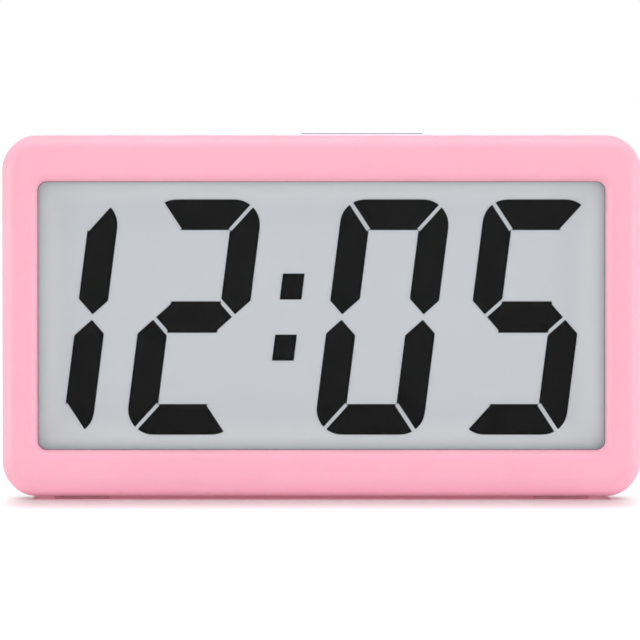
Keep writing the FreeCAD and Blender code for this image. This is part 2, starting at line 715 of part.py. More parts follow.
def add_bay_and_cover_seat(body):
    """Cut the battery bay, the seat of its cover, the hook slots and the slits for two contacts."""
    sketch = facing_sketch(body, BACK, x=BAY_X, z=BAY_Z)
    draw_box(sketch, BAY_LENGTH, BAY_HEIGHT)
    pocket(body, sketch, f"{BACK} - {BAY_INSIDE}", backwards=True)
    sketch = facing_sketch(body, BACK, x=BAY_X, z=BAY_Z)
    draw_rounded_box(sketch, f"({COVER_LENGTH} + 2 * cover_clearance)",
                     f"({COVER_HEIGHT} + 2 * cover_clearance)", "cover_corner")
    pocket(body, sketch, "cover_thickness", backwards=True)
    sketch = facing_sketch(body, BACK, x=BAY_X, z=f"{BAY_Z} + {COVER_HEIGHT} / 2")
    draw_circle(sketch, "grip_radius")
    pocket(body, sketch, "grip_depth", backwards=True)
    slot_top = f"({COVER_INSIDE} - hook_drop)"
    sketch = facing_sketch(body, slot_top, x=BAY_X, z=BAY_BOTTOM)
    slot_depth = "(hook_reach + hook_clearance)"
    for side in ("0 - hook_spread", "hook_spread"):
        draw_box(sketch, "(hook_width + 2 * hook_clearance)", f"(2 * {slot_depth})", side)
    pocket(body, sketch, "hook_room + hook_thickness + hook_clearance", backwards=True)
    sketch = facing_sketch(body, BAY_INSIDE, x=f"{BAY_RIGHT} - contact_thickness / 2")
    for z in (f"({BAY_Z} + {CELL_PITCH} / 2)", f"({BAY_Z} - {CELL_PITCH} / 2)"):
        draw_box(sketch, "(contact_thickness + 2 * tab_clearance)", "(tab_width + 2 * tab_clearance)", v=z)
    pocket(body, sketch, "bay_floor", backwards=True)


def add_stand_recess(body):
    """Cut the recess for the kickstand, the deeper place for a fingertip and the pivot bores."""
    sketch = facing_sketch(body, BACK, x=STAND_X)
    half_width = f"{STAND_POCKET_WIDTH} / 2"
    draw_span(sketch, f"0 - {half_width}", half_width, STAND_POCKET_BOTTOM, STAND_POCKET_TOP)
    pocket(body, sketch, f"{BACK} - {STAND_POCKET}", backwards=True)
    sketch = facing_sketch(body, BACK, x=STAND_X)
    half_width = "(finger_radius + stand_clearance)"
    draw_span(sketch, f"0 - {half_width}", half_width, STAND_POCKET_BOTTOM, FINGER_TOP)
    pocket(body, sketch, "finger_depth", backwards=True)
    sketch = side_sketch(body, STAND_X, STAND_Y, STAND_Z)
    draw_circle(sketch, "stand_pin_radius + stand_pin_clearance")
    pocket(body, sketch, "stand_width + 2 * (stand_pin_length + stand_clearance)", both_ways=True)


def add_screw_holes(body):
    """Cut the counterbores of the four case screws and the clearance holes under them."""
    wide = facing_sketch(body, BACK)
    narrow = facing_sketch(body, PARTING)
    for x in (f"(0 - {SCREW_X})", SCREW_X):
        for z in (SCREW_LOW, SCREW_HIGH):
            draw_circle(wide, COUNTERBORE, x, z)
            draw_circle(narrow, "screw_radius + 2 * screw_clearance", x, z)
    pocket(body, wide, f"{BACK} - {SCREW_SEAT}", backwards=True)
    pocket(body, narrow, f"counterbore_floor + {OVERLAP}")


def add_button_openings(body):
    """Cut the shallow recess of the back buttons and the four openings in it."""
    sketch = facing_sketch(body, BACK, x=BUTTON_MIDDLE, z=BUTTON_ROW)
    draw_box(sketch, f"{BUTTON_XS[-1]} - {BUTTON_XS[0]} + button_width + 2 * recess_margin",
             "button_height + 2 * recess_margin")
    pocket(body, sketch, "recess_depth", backwards=True)
    sketch = facing_sketch(body, BACK)
    for x in BUTTON_XS:
        draw_box(sketch, "button_width + 2 * button_clearance", "button_height + 2 * button_clearance",
                 x, BUTTON_ROW)
    pocket(body, sketch, "wall", backwards=True)


def add_slider_opening(body):
    """Cut the shallow recess of the alarm slider and the opening that its knob runs in."""
    for margin, depth in (("recess_margin", "recess_depth"), ("slider_clearance", "wall")):
        sketch = facing_sketch(body, BACK, x=SLIDER_X, z=SLIDER_Z)
        draw_box(sketch, f"slider_knob + slider_travel + 2 * {margin}", f"slider_height + 2 * {margin}")
        pocket(body, sketch, depth, backwards=True)


def add_sound_slots(body):
    """Cut the row of slots that lets the buzzer's sound out."""
    sketch = facing_sketch(body, BACK, x=BUZZER_X, z=BUZZER_Z)
    for index in range(NUMBER_OF_SOUND_SLOTS):
        step = index - (NUMBER_OF_SOUND_SLOTS - 1) / 2
        draw_box(sketch, "sound_slot_length", "sound_slot_width", v=f"({step}) * sound_slot_pitch")
    pocket(body, sketch, "wall", backwards=True)


def add_snooze_opening(body):
    """Cut the opening of the snooze key into the top of the shell."""
    sketch = level_sketch(body, TOP, "key_across", KEY_MIDDLE)
    draw_rounded_box(sketch, "(key_length + 2 * key_clearance)", "(key_width + 2 * key_clearance)",
                     "(key_clearance + key_margin)")
    pocket(body, sketch, "wall")


def add_keyhole(body):
    """Cut the keyhole: a round entry, a narrow slot above it and room for a nail's head behind."""
    sketch = facing_sketch(body, BACK_INSIDE, z=f"{KEYHOLE_Z} + keyhole_travel / 2")
    draw_box(sketch, "(2 * keyhole_radius + keyhole_margin)",
             "(keyhole_travel + 2 * keyhole_radius + keyhole_margin)")
    pocket(body, sketch, "keyhole_room", backwards=True)
    sketch = facing_sketch(body, BACK, z=KEYHOLE_Z)
    draw_circle(sketch, "keyhole_radius")
    pocket(body, sketch, "wall", backwards=True)
    sketch = facing_sketch(body, BACK, z=KEYHOLE_Z)
    draw_slot(sketch, "keyhole_slot / 2", "keyhole_travel")
    pocket(body, sketch, "wall", backwards=True)


def make_feet():
    """Four rubber pads, two in each moulding."""
    rows = [("front", f"({FRONT} + front_foot_inset)"), ("back", f"({BACK} - back_foot_inset)")]
    for row, y in rows:
        for side, x in (("left", f"(0 - {FOOT_X})"), ("right", FOOT_X)):
            body = new_body(f"foot_{row}_{side}")
            sketch = level_sketch(body, "0", x, y)
            draw_box(sketch, "foot_length", "foot_width")
            pad(body, sketch, "foot_gap + foot_recess")


def make_screw(name, x, z):
    """Screw lying along Y, head to the back, with the underside of its head on its seat."""
    body = new_body(name)
    sketch = new_sketch(body, "XY_Plane", x, SCREW_SEAT, z)
    draw_polygon(sketch, [
        ("0", "0 - screw_length"), ("screw_radius", "0 - screw_length"), ("screw_radius", "0"),
        ("screw_head_radius", "0"), ("screw_head_radius", "screw_head"), ("0", "screw_head"),
    ])
    turn(body, sketch, "V_Axis")


def make_screws():
    """Four screws that close the case."""
    for side, x in (("left", f"0 - {SCREW_X}"), ("right", SCREW_X)):
        for level, z in (("low", SCREW_LOW), ("high", SCREW_HIGH)):
            make_screw(f"case_screw_{level}_{side}", x, z)


# ---------------------------------------------------------------- display


def make_sheet_piece(name, y, thickness, height, z):
    """Flat rectangular piece of the display cell, from its front face at y backwards."""
    body = new_body(name)
    sketch = facing_sketch(body, y, z=z)
    draw_box(sketch, GLASS_WIDTH, height)
    pad(body, sketch, thickness, backwards=True)


def make_display_stack():
    """Clear window, two panes of glass with the seal between them, and the reflector sheet."""
    body = new_body("display_window")
    sketch = facing_sketch(body, LENS_FRONT, z=MIDDLE)
    draw_box(sketch, LENS_WIDTH, LENS_HEIGHT)
    pad(body, sketch, "lens_thickness", backwards=True)
    make_sheet_piece("lcd_front_glass", LENS_BACK, "glass_thickness", GLASS_HEIGHT, MIDDLE)
    make_sheet_piece("lcd_rear_glass", SEGMENTS_BACK, "glass_thickness", REAR_GLASS_HEIGHT,
                     REAR_GLASS_MIDDLE)
    make_sheet_piece("lcd_reflector", REAR_GLASS_BACK, "reflector_thickness", REAR_GLASS_HEIGHT,
                     REAR_GLASS_MIDDLE)
    body = new_body("lcd_seal")
    sketch = facing_sketch(body, SEGMENTS_FRONT, z=REAR_GLASS_MIDDLE)
    draw_box(sketch, GLASS_WIDTH, REAR_GLASS_HEIGHT)
    draw_box(sketch, f"({GLASS_WIDTH} - 2 * seal_width)", f"({REAR_GLASS_HEIGHT} - 2 * seal_width)")
    pad(body, sketch, "crystal_gap", backwards=True)


def make_holder():
    """Moulded holder: a rim round the glass, a back plate with a slot, and four hooks for the board."""
    body = new_body("lcd_holder")
    sketch = facing_sketch(body, LENS_BACK, z=MIDDLE)
    draw_box(sketch, LENS_WIDTH, LENS_HEIGHT)
    pad(body, sketch, f"{BOARD_FRONT} - {LENS_BACK}", backwards=True)
    sketch = facing_sketch(body, LENS_BACK, z=MIDDLE)
    draw_box(sketch, f"({GLASS_WIDTH} + 2 * seat_clearance)", f"({GLASS_HEIGHT} + 2 * seat_clearance)")
    pocket(body, sketch, f"{HOLDER_FRONT} - {LENS_BACK}")
    sketch = facing_sketch(body, HOLDER_FRONT, z=LEDGE_MIDDLE)
    draw_box(sketch, "connector_length + 2 * seat_clearance", "connector_thickness + 2 * seat_clearance")
    pocket(body, sketch, "holder_plate")
    arms = facing_sketch(body, f"{BOARD_FRONT} - {OVERLAP}")
    noses = facing_sketch(body, f"{BOARD_BACK} + clip_clearance")
    for side in ("(0 - 1)", "1"):
        inner = f"{side} * (board_width / 2 + seat_clearance)"
        outer = f"{side} * (board_width / 2 + seat_clearance + hold_arm)"
        tip = f"{side} * (board_width / 2 - hold_nose)"
        for z in (f"({BOARD_MIDDLE} - hold_spread)", f"({BOARD_MIDDLE} + hold_spread)"):
            low, high = f"{z} - hold_width / 2", f"{z} + hold_width / 2"
            draw_span(arms, inner, outer, low, high)
            draw_span(noses, tip, outer, low, high)
    pad(body, arms, f"{OVERLAP} + board_thickness + clip_clearance + hold_nose", backwards=True)
    pad(body, noses, "hold_nose", backwards=True)


def slanted(x, z):
    """Return a point of a digit, given from the digit's centre, after the digit is leant to the right."""
    return Vector(x + z * math.tan(math.radians(value("slant_angle"))), value(SEGMENTS_FRONT), z)


def slanted_plate(corners):
    """Return a plate as thick as the crystal layer, with its corners given from the digit's centre."""
    points = [slanted(x, z) for x, z in corners]
    face = Part.Face(Part.makePolygon(points + points[:1]))
    return face.extrude(Vector(0, value("crystal_gap"), 0))


def digit_segments():
    """Return the seven segments of a digit by their letters, cut from one plate by slits."""
    half_width = value("digit_width") / 2
    half_height = value("window_height") / 2 - value("digit_margin")
    inner_x = half_width - value("upright_bar")
    inner_z = half_height - value("level_bar")
    middle_z = value("middle_bar") / 2
    plate = slanted_plate([(-half_width, -half_height), (half_width, -half_height),
                           (half_width, half_height), (-half_width, half_height)])
    corners = [edge for edge in plate.Edges if edge.BoundBox.YLength > value("crystal_gap") / 2]
    plate = plate.makeFillet(value("segment_corner"), corners)
    cuts = []
    for rise in (1, -1):
        cuts.append(slanted_plate([(-inner_x, rise * middle_z), (inner_x, rise * middle_z),
                                   (inner_x, rise * inner_z), (-inner_x, rise * inner_z)]))
        for side in (1, -1):
            cuts.append(corner_slit(side * inner_x, rise * inner_z, side, rise))
    tip = inner_x + middle_z / math.tan(math.radians(value("middle_angle")))
    for side in (1, -1):
        cuts.extend(middle_slits(side, inner_x, tip, half_width))
    pieces = plate.cut(cuts).Solids
    return {segment_letter(piece, inner_x, inner_z): piece for piece in pieces}


def corner_slit(x, z, side, rise):
    """Return the slit that runs from an inner corner of a digit outwards through its outer corner."""
    angle = math.radians(value("mitre_angle"))
    along_x, along_z = side * math.cos(angle), rise * math.sin(angle)
    half_gap = value("segment_gap") / 2
    step_x, step_z = -along_z * half_gap, along_x * half_gap
    length = value("digit_width")
    return slanted_plate([
        (x + step_x, z + step_z), (x + along_x * length + step_x, z + along_z * length + step_z),
        (x + along_x * length - step_x, z + along_z * length - step_z), (x - step_x, z - step_z),
    ])


def middle_slits(side, inner_x, tip, half_width):
    """Return the two slits that point the middle bar, and the wedge that points the uprights."""
    angle = math.radians(value("middle_angle"))
    half_gap = value("segment_gap") / 2
    gap_z = half_gap / math.cos(angle)
    slope = math.tan(angle)
    plates = []
    for rise in (1, -1):
        reach = (tip - inner_x) * slope
        plates.append(slanted_plate([
            (side * inner_x, rise * (reach - gap_z)), (side * tip, -rise * gap_z),
            (side * tip, rise * gap_z), (side * inner_x, rise * (reach + gap_z)),
        ]))
    outer = half_width + value("segment_gap")
    reach = (outer - tip) * slope + gap_z
    plates.append(slanted_plate([
        (side * tip, -gap_z), (side * outer, -reach), (side * outer, reach), (side * tip, gap_z),
    ]))
    return plates


def segment_letter(piece, inner_x, inner_z):
    """Return the letter of a segment, told from where its centre lies in the digit."""
    centre = piece.CenterOfMass
    x = centre.x - centre.z * math.tan(math.radians(value("slant_angle")))
    if abs(x) < inner_x / 2:
        if abs(centre.z) < inner_z / 2:
            return "g"
        return "a" if centre.z > 0 else "d"
    if x > 0:
        return "b" if centre.z > 0 else "c"
    return "f" if centre.z > 0 else "e"


def make_segments():
    """Liquid-crystal segments that show the time, as one layer between the two panes."""
    segments = digit_segments()
    middle = value(f"{MIDDLE} - digits_drop")
    inner = value("colon_pitch") / 2
    outer = inner + value("digit_pitch")
    shift = -value("digits_offset")
    pieces = []
    for letters, place in zip(LIT_SEGMENTS, (-outer, -inner, inner, outer)):
        for letter in letters:
            piece = segments[letter].copy()
            piece.translate(Vector(shift + place, 0, middle))
            pieces.append(piece)
    width, height = value("dot_width") / 2, value("dot_height") / 2
    for rise in (value("dot_rise"), -value("dot_rise")):
        dot = slanted_plate([(-width, rise - height), (width, rise - height),
                             (width, rise + height), (-width, rise + height)])
        dot.translate(Vector(shift, 0, middle))
        pieces.append(dot)
    layer = document.addObject("Part::Feature", "lcd_segments")
    layer.Label = "lcd_segments"
    layer.Shape = Part.makeCompound(pieces)
    layer.Placement = Placement()
    parts.append(layer)


def make_connector():
    """Rubber strip that joins the ledge of the front glass to the board."""
    body = new_body("lcd_connector")
    sketch = facing_sketch(body, SEGMENTS_FRONT, z=LEDGE_MIDDLE)
    draw_box(sketch, "connector_length", "connector_thickness")
    pad(body, sketch, f"{BOARD_FRONT} - {SEGMENTS_FRONT}", backwards=True)


# ---------------------------------------------------------------- board


def make_board():
    """Circuit board, held by the holder's four hooks."""
    body = new_body("main_board")
    sketch = facing_sketch(body, BOARD_FRONT)
    draw_span(sketch, "0 - board_width / 2", "board_width / 2", BOARD_BOTTOM, BOARD_TOP)
    pad(body, sketch, "board_thickness", backwards=True)


def make_board_components():
    """Square clock chip, quartz crystal in its round can, two capacitors and the round buzzer."""
    body = new_body("clock_chip")
    z = f"({MIDDLE} + chip_rise)"
    sketch = facing_sketch(body, BOARD_BACK, x="0 - chip_across", z=z)
    draw_box(sketch, "chip_width", "chip_width")
    pad(body, sketch, "chip_height", backwards=True)
    body = new_body("quartz_crystal")
    sketch = level_sketch(body, z, "chip_width", f"{BOARD_BACK} + crystal_radius")
    draw_circle(sketch, "crystal_radius")
    pad(body, sketch, "crystal_length")
    for name, drop in (("capacitor_upper", "1"), ("capacitor_lower", "3")):
        body = new_body(name)
        rise = f"{z} - crystal_length / 2 - {drop} * capacitor_width"
        sketch = facing_sketch(body, BOARD_BACK, x="chip_width", z=rise)
        draw_box(sketch, "capacitor_length", "capacitor_width")
        pad(body, sketch, "capacitor_height", backwards=True)
    body = new_body("buzzer")
    sketch = facing_sketch(body, BOARD_BACK, x=BUZZER_X, z=BUZZER_Z)
    draw_circle(sketch, "buzzer_radius")
    pad(body, sketch, "buzzer_height", backwards=True)


def make_push_switches():
    """Square push switch behind each back button, with its square plunger."""
    for name, x in zip(BUTTON_NAMES, BUTTON_XS):
        body = new_body(f"switch_{name}")
        sketch = facing_sketch(body, BOARD_BACK, x=x, z=BUTTON_ROW)
        draw_box(sketch, "switch_width", "switch_width")
        pad(body, sketch, "switch_height", backwards=True)
        sketch = facing_sketch(body, SWITCH_BACK, x=x, z=BUTTON_ROW)
        draw_box(sketch, PLUNGER_HOLE, PLUNGER_HOLE)
        pocket(body, sketch, "plunger_depth + button_travel + plunger_room", backwards=True)
        body = new_body(f"plunger_{name}")
        sketch = facing_sketch(body, f"{SWITCH_BACK} - plunger_depth", x=x, z=BUTTON_ROW)
        draw_box(sketch, "plunger_width", "plunger_width")
        pad(body, sketch, "plunger_depth + switch_rise", backwards=True)


def make_back_buttons():
    """Bevelled back buttons, each with a flange inside the wall and a cross-shaped stem."""
    flange_back = f"({BACK_INSIDE} - flange_gap)"
    flange_front = f"({flange_back} - flange_thickness)"
    stem_front = f"({SWITCH_BACK} + switch_rise)"
    for name, x in zip(BUTTON_NAMES, BUTTON_XS):
        body = new_body(f"button_{name}")
        sketch = facing_sketch(body, flange_front, x=x, z=BUTTON_ROW)
        draw_box(sketch, "button_width", "button_height")
        cap = pad(body, sketch, f"{CONTROL_BACK} - {flange_front}", backwards=True)
        bevel_edges(body, cap, lies_at_depth(CONTROL_BACK), "button_bevel")
        sketch = facing_sketch(body, flange_front, x=x, z=BUTTON_ROW)
        draw_box(sketch, "button_width + 2 * flange_margin", "button_height + 2 * flange_margin")
        pad(body, sketch, "flange_thickness", backwards=True)
        sketch = facing_sketch(body, stem_front, x=x, z=BUTTON_ROW)
        draw_cross(sketch, "stem_width", "stem_web")
        pad(body, sketch, f"{flange_front} - {stem_front} + {OVERLAP}", backwards=True)


def make_snooze_key():
    """Snooze key in the top of the case: a bevelled cap, a flange under the wall and a stem."""
    body = new_body("snooze_key")
    sketch = level_sketch(body, KEY_TOP, "key_across", KEY_MIDDLE)
    draw_rounded_box(sketch, "key_length", "key_width", "key_margin")
    cap = pad(body, sketch, f"{KEY_TOP} - {KEY_FLANGE_TOP} + {OVERLAP}", backwards=True)
    top = value(f"{KEY_TOP} - key_proud / 2")
    bevel_edges(body, cap, lambda box: box.ZMin > top, "key_proud")
    flange_back = f"({KEY_MIDDLE} + key_width / 2 + key_back_margin)"
    flange_front = f"({SNOOZE_AXIS} - key_stem_width / 2 - key_clearance)"
    half_length = "(key_length / 2 + key_margin)"
    sketch = level_sketch(body, KEY_FLANGE_TOP, "key_across")
    draw_span(sketch, f"0 - {half_length}", half_length, flange_front, flange_back)
    pad(body, sketch, "key_flange", backwards=True)
    stem_bottom = f"({SNOOZE_TOP} + snooze_plunger_rise)"
    sketch = level_sketch(body, stem_bottom, "key_across", SNOOZE_AXIS)
    draw_cross(sketch, "key_stem_width", "stem_web")
    pad(body, sketch, f"{KEY_FLANGE_TOP} - {stem_bottom}")


def make_snooze_switch():
    """Push switch lying on the board with its plunger upwards, under the snooze key's stem."""
    body = new_body("switch_snooze")
    sketch = level_sketch(body, f"({SNOOZE_TOP} - snooze_switch_height)", "key_across", SNOOZE_AXIS)
    draw_box(sketch, "switch_width", "snooze_switch_depth")
    pad(body, sketch, "snooze_switch_height")
    sketch = level_sketch(body, SNOOZE_TOP, "key_across", SNOOZE_AXIS)
    draw_box(sketch, PLUNGER_HOLE, PLUNGER_HOLE)
    pocket(body, sketch, "plunger_depth + key_travel + plunger_room")
    body = new_body("plunger_snooze")
    sketch = level_sketch(body, f"{SNOOZE_TOP} - plunger_depth", "key_across", SNOOZE_AXIS)
    draw_box(sketch, "plunger_width", "plunger_width")
    pad(body, sketch, "plunger_depth + snooze_plunger_rise")


def make_alarm_switch():
    """Slide switch on the board, its lever, and the slider that moves it from behind the clock."""
    body = new_body("slide_switch")
    sketch = facing_sketch(body, BOARD_BACK, x=SLIDER_X, z=SLIDER_Z)
    draw_box(sketch, "slide_switch_length", "slide_switch_width")
    pad(body, sketch, "slide_switch_height", backwards=True)
    top = f"({BOARD_BACK} + slide_switch_height)"
    sketch = facing_sketch(body, top, x=SLIDER_X, z=SLIDER_Z)
    draw_box(sketch, "lever_width + slider_travel + 2 * lever_clearance", "lever_thickness + lever_clearance")
    pocket(body, sketch, "lever_depth + lever_clearance", backwards=True)
    left = f"({SLIDER_X} - slider_travel / 2)"
    body = new_body("alarm_lever")
    sketch = facing_sketch(body, f"({top} - lever_depth)", x=left, z=SLIDER_Z)
    draw_box(sketch, "lever_width", "lever_thickness")
    pad(body, sketch, "lever_depth + lever_rise", backwards=True)
    body = new_body("alarm_slider")
    plate_back = f"({BACK_INSIDE} - flange_gap)"
    plate_front = f"({plate_back} - slider_plate)"
    sketch = facing_sketch(body, plate_front, x=left, z=SLIDER_Z)
    draw_box(sketch, "slider_plate_length", "slider_plate_height")
    pad(body, sketch, "slider_plate", backwards=True)
    sketch = facing_sketch(body, plate_front, x=left, z=SLIDER_Z)
    draw_box(sketch, "slider_knob", "slider_height")
    pad(body, sketch, f"{CONTROL_BACK} - {plate_front}", backwards=True)
    sketch = facing_sketch(body, f"({top} + lever_rise)", x=left, z=SLIDER_Z)
    draw_box(sketch, "slider_arm", "slider_arm")
    pad(body, sketch, f"{plate_back} - {top} - lever_rise", backwards=True)


# ---------------------------------------------------------------- power


def make_cells():
    """Two AAA cells: the upper one with its positive end to the left, the lower one to the right."""
    places = [
        ("cell_upper", f"({BAY_LEFT} + contact_thickness)", f"({BAY_Z} + {CELL_PITCH} / 2)", "1"),
        ("cell_lower", f"({BAY_RIGHT} - contact_thickness)", f"({BAY_Z} - {CELL_PITCH} / 2)", "(0 - 1)"),
    ]
    for name, tip, z, way in places:
        body = new_body(name)
        sketch = level_sketch(body, z, tip, CELL_AXIS)
        shoulder = f"{way} * nub_length"
        end = f"{way} * (nub_length + cell_body)"
        draw_polygon(sketch, [
            ("0", "0"), ("0", "nub_radius"), (shoulder, "nub_radius"), (shoulder, "cell_radius"),
            (end, "cell_radius"), (end, "0"),
        ])
        turn(body, sketch, "H_Axis")


def make_contact(name, x, z_low, z_high, tabs):
    """Flat contact plate against an end wall of the bay, with a tab that may run forward to the board."""
    body = new_body(name)
    sketch = side_sketch(body, x, CELL_AXIS)
    half_width = "contact_width / 2"
    draw_span(sketch, f"0 - {half_width}", half_width, f"{z_low} - {half_width}", f"{z_high} + {half_width}")
    pad(body, sketch, "contact_thickness")
    if tabs:
        sketch = side_sketch(body, x)
        reach = f"({CELL_AXIS} - contact_width / 2 + {OVERLAP})"
        half_tab = "tab_width / 2"
        draw_span(sketch, BOARD_BACK, reach, f"{z_low} - {half_tab}", f"{z_low} + {half_tab}")
        pad(body, sketch, "contact_thickness")


def make_spring(name, base, z, way):
    """Bent leaf spring from a contact plate to the flat end of a cell."""
    body = new_body(name)
    sketch = level_sketch(body, z, base, CELL_AXIS)
    tip = f"{way} * spring_room"
    inner_tip = f"{way} * (spring_room - leaf_thickness)"
    root, end = f"{LEAF_ROOT} * leaf_thickness", f"{LEAF_END} * leaf_thickness"
    draw_polygon(sketch, [
        ("0", "leaf_span"), (tip, "leaf_tip"), (tip, "0 - leaf_tip"), ("0", "0 - leaf_span"),
        ("0", f"{root} - leaf_span"), (inner_tip, f"{end} - leaf_tip"),
        (inner_tip, f"leaf_tip - {end}"), ("0", f"leaf_span - {root}"),
    ])
    pad(body, sketch, "leaf_width", both_ways=True)


def make_contacts():
    """Contacts at both ends of the bay: two single plates, one linking plate and two springs."""
    high = f"({BAY_Z} + {CELL_PITCH} / 2)"
    low = f"({BAY_Z} - {CELL_PITCH} / 2)"
    right = f"({BAY_RIGHT} - contact_thickness)"
    make_contact("contact_negative", right, high, high, tabs=True)
    make_contact("contact_positive", right, low, low, tabs=True)
    make_contact("contact_link", BAY_LEFT, low, high, tabs=False)
    make_spring("spring_upper", right, high, "(0 - 1)")
    make_spring("spring_lower", f"({BAY_LEFT} + contact_thickness)", low, "1")


def make_battery_cover():
    """Battery cover: a flush plate with two hooks at its lower edge and a latch at its upper edge."""
    body = new_body("battery_cover")
    sketch = facing_sketch(body, COVER_INSIDE, x=BAY_X, z=BAY_Z)
    draw_rounded_box(sketch, COVER_LENGTH, COVER_HEIGHT, "cover_corner")
    pad(body, sketch, "cover_thickness", backwards=True)
    hook_front = f"({COVER_INSIDE} - hook_drop - hook_room - hook_thickness)"
    web_low = f"({BAY_BOTTOM} + hook_clearance / 4)"
    webs = facing_sketch(body, hook_front, x=BAY_X)
    tongues = facing_sketch(body, hook_front, x=BAY_X)
    for side in ("(0 - hook_spread)", "hook_spread"):
        left, right = f"{side} - hook_width / 2", f"{side} + hook_width / 2"
        draw_span(webs, left, right, web_low, f"{web_low} + hook_web")
        draw_span(tongues, left, right, f"{BAY_BOTTOM} - hook_reach", f"{web_low} + hook_web")
    pad(body, webs, f"{COVER_INSIDE} - {hook_front} + {OVERLAP}", backwards=True)
    pad(body, tongues, "hook_thickness", backwards=True)
    latch_middle = f"({BAY_TOP} - hook_clearance - hook_web / 2)"
    sketch = facing_sketch(body, f"({COVER_INSIDE} - latch_depth)", x=BAY_X, z=latch_middle)
    draw_box(sketch, "latch_width", "hook_web")
    pad(body, sketch, f"latch_depth + {OVERLAP}", backwards=True)


# ---------------------------------------------------------------- kickstand


def make_kickstand():
    """Kickstand: a ribbed plate with a round barrel at its top, two pins and a cut-out for a finger."""
    body = new_body("kickstand")
    sketch = facing_sketch(body, STAND_FRONT, x=STAND_X)
    high = f"({STAND_Z} + barrel_radius / 2)"
    draw_rounded_box(sketch, "stand_width", f"({high} - {STAND_TIP})", "stand_corner",
                     v=f"({high} + {STAND_TIP}) / 2")
    pad(body, sketch, "stand_thickness", backwards=True)
    sketch = side_sketch(body, STAND_X, STAND_Y, STAND_Z)
    draw_span(sketch, "0 - 2 * barrel_radius", "2 * barrel_radius", "0 - stand_corner", "stand_corner")
    pocket(body, sketch, f"stand_width + {OVERLAP}", both_ways=True)
    sketch = facing_sketch(body, STAND_FRONT, x=STAND_X)
    draw_span(sketch, "0 - stand_width / 2", "stand_width / 2", f"{STAND_Z} - 2 * stand_corner", STAND_Z)
    pad(body, sketch, "stand_thickness", backwards=True)
    for radius, length in (("barrel_radius", "stand_width"),
                           ("stand_pin_radius", "stand_width + 2 * stand_pin_length")):
        sketch = side_sketch(body, STAND_X, STAND_Y, STAND_Z)
        draw_circle(sketch, radius)
        pad(body, sketch, length, both_ways=True)
    sketch = facing_sketch(body, STAND_BACK, x=STAND_X, z=STAND_TIP)
    draw_circle(sketch, "finger_radius")
    pocket(body, sketch, "stand_thickness", backwards=True)
    sketch = facing_sketch(body, f"({STAND_FRONT} - stand_rib_height)", x=STAND_X)
    high = f"({STAND_Z} - barrel_radius)"
    low = f"({STAND_TIP} + 2 * finger_radius)"
    for side in ("(0 - stand_width / 3)", "(stand_width / 3)"):
        draw_span(sketch, f"{side} - stand_rib_width / 2", f"{side} + stand_rib_width / 2", low, high)
    pad(body, sketch, f"stand_rib_height + {OVERLAP}", backwards=True)


def check_and_export():
    """Stop if any object failed or any sub-part is empty or broken, and write one file for each."""
    document.recompute()
    for thing in document.Objects:
        if "Invalid" in thing.State or "Error" in thing.State:
            raise RuntimeError(f"{thing.Label} failed: {thing.State}")
    os.makedirs("parts", exist_ok=True)
    for part in parts:
        if part.Shape.isNull() or not part.Shape.isValid():
            raise RuntimeError(f"{part.Label} has no valid shape")
    for part in parts:
        part.Shape.exportStep(os.path.join("parts", part.Label + ".step"))


def main():
    """Build every sub-part and write its file."""
    fill_sheet()
    make_front_bezel()
    make_rear_housing()
    make_feet()
    make_screws()
    make_display_stack()
    make_segments()
    make_holder()
    make_connector()
    make_board()
    make_board_components()
    make_push_switches()
    make_back_buttons()
    make_snooze_key()
    make_snooze_switch()
    make_alarm_switch()
    make_cells()
    make_contacts()
    make_battery_cover()
    make_kickstand()
    check_and_export()


main()
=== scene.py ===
import logging
import math
from dataclasses import dataclass, field
from enum import Enum
from typing import Iterable, Protocol, Sequence

import bmesh
import bpy
import numpy as np
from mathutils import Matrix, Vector


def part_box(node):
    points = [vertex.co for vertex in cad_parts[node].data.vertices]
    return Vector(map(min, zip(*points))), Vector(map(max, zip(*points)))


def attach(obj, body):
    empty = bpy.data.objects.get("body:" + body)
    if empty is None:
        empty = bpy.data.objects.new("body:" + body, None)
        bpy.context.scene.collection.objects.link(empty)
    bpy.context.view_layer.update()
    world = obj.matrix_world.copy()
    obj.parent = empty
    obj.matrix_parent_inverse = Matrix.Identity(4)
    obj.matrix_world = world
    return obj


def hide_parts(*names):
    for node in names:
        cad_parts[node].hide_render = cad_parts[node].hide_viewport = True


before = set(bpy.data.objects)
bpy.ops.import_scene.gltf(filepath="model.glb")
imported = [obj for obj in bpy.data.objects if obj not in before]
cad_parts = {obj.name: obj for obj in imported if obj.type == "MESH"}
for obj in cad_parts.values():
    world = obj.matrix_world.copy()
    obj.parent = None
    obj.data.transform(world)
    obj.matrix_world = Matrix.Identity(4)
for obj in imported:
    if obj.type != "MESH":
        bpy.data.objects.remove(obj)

logging.basicConfig(level=logging.INFO, format="%(message)s")
log = logging.getLogger("clock")

MM = 0.001
SEAM = 1e-7
CAD_SEAM = 2e-6
CAD_FLAT = 0.3
TINY = 1e-9
WHITE = (1.0, 1.0, 1.0)
OPAQUE = 1.0
NOISE_LOW, NOISE_HIGH = 0.3, 0.7
FIRST_COLOUR, SECOND_COLOUR, MIXED_COLOUR = 6, 7, 2

Triple = tuple[float, float, float]
Colour = Triple
Point = tuple[float, float]
Ring = tuple[float, float, float, float]
Shell = tuple[np.ndarray, np.ndarray]
Bands = tuple[tuple[float, Colour], ...]
Piece = bpy.types.Object
Socket = bpy.types.NodeSocket


# ---------------------------------------------------------------- names


class Body(Enum):
    """The moving bodies of the clock."""

    CASE = "case"
    SNOOZE = "snooze"
    SLIDER = "alarm_slider"
    COVER = "battery_cover"
    STAND = "kickstand"
    MODE = "mode_button"
    SET = "set_button"
    UP = "up_button"
    DOWN = "down_button"


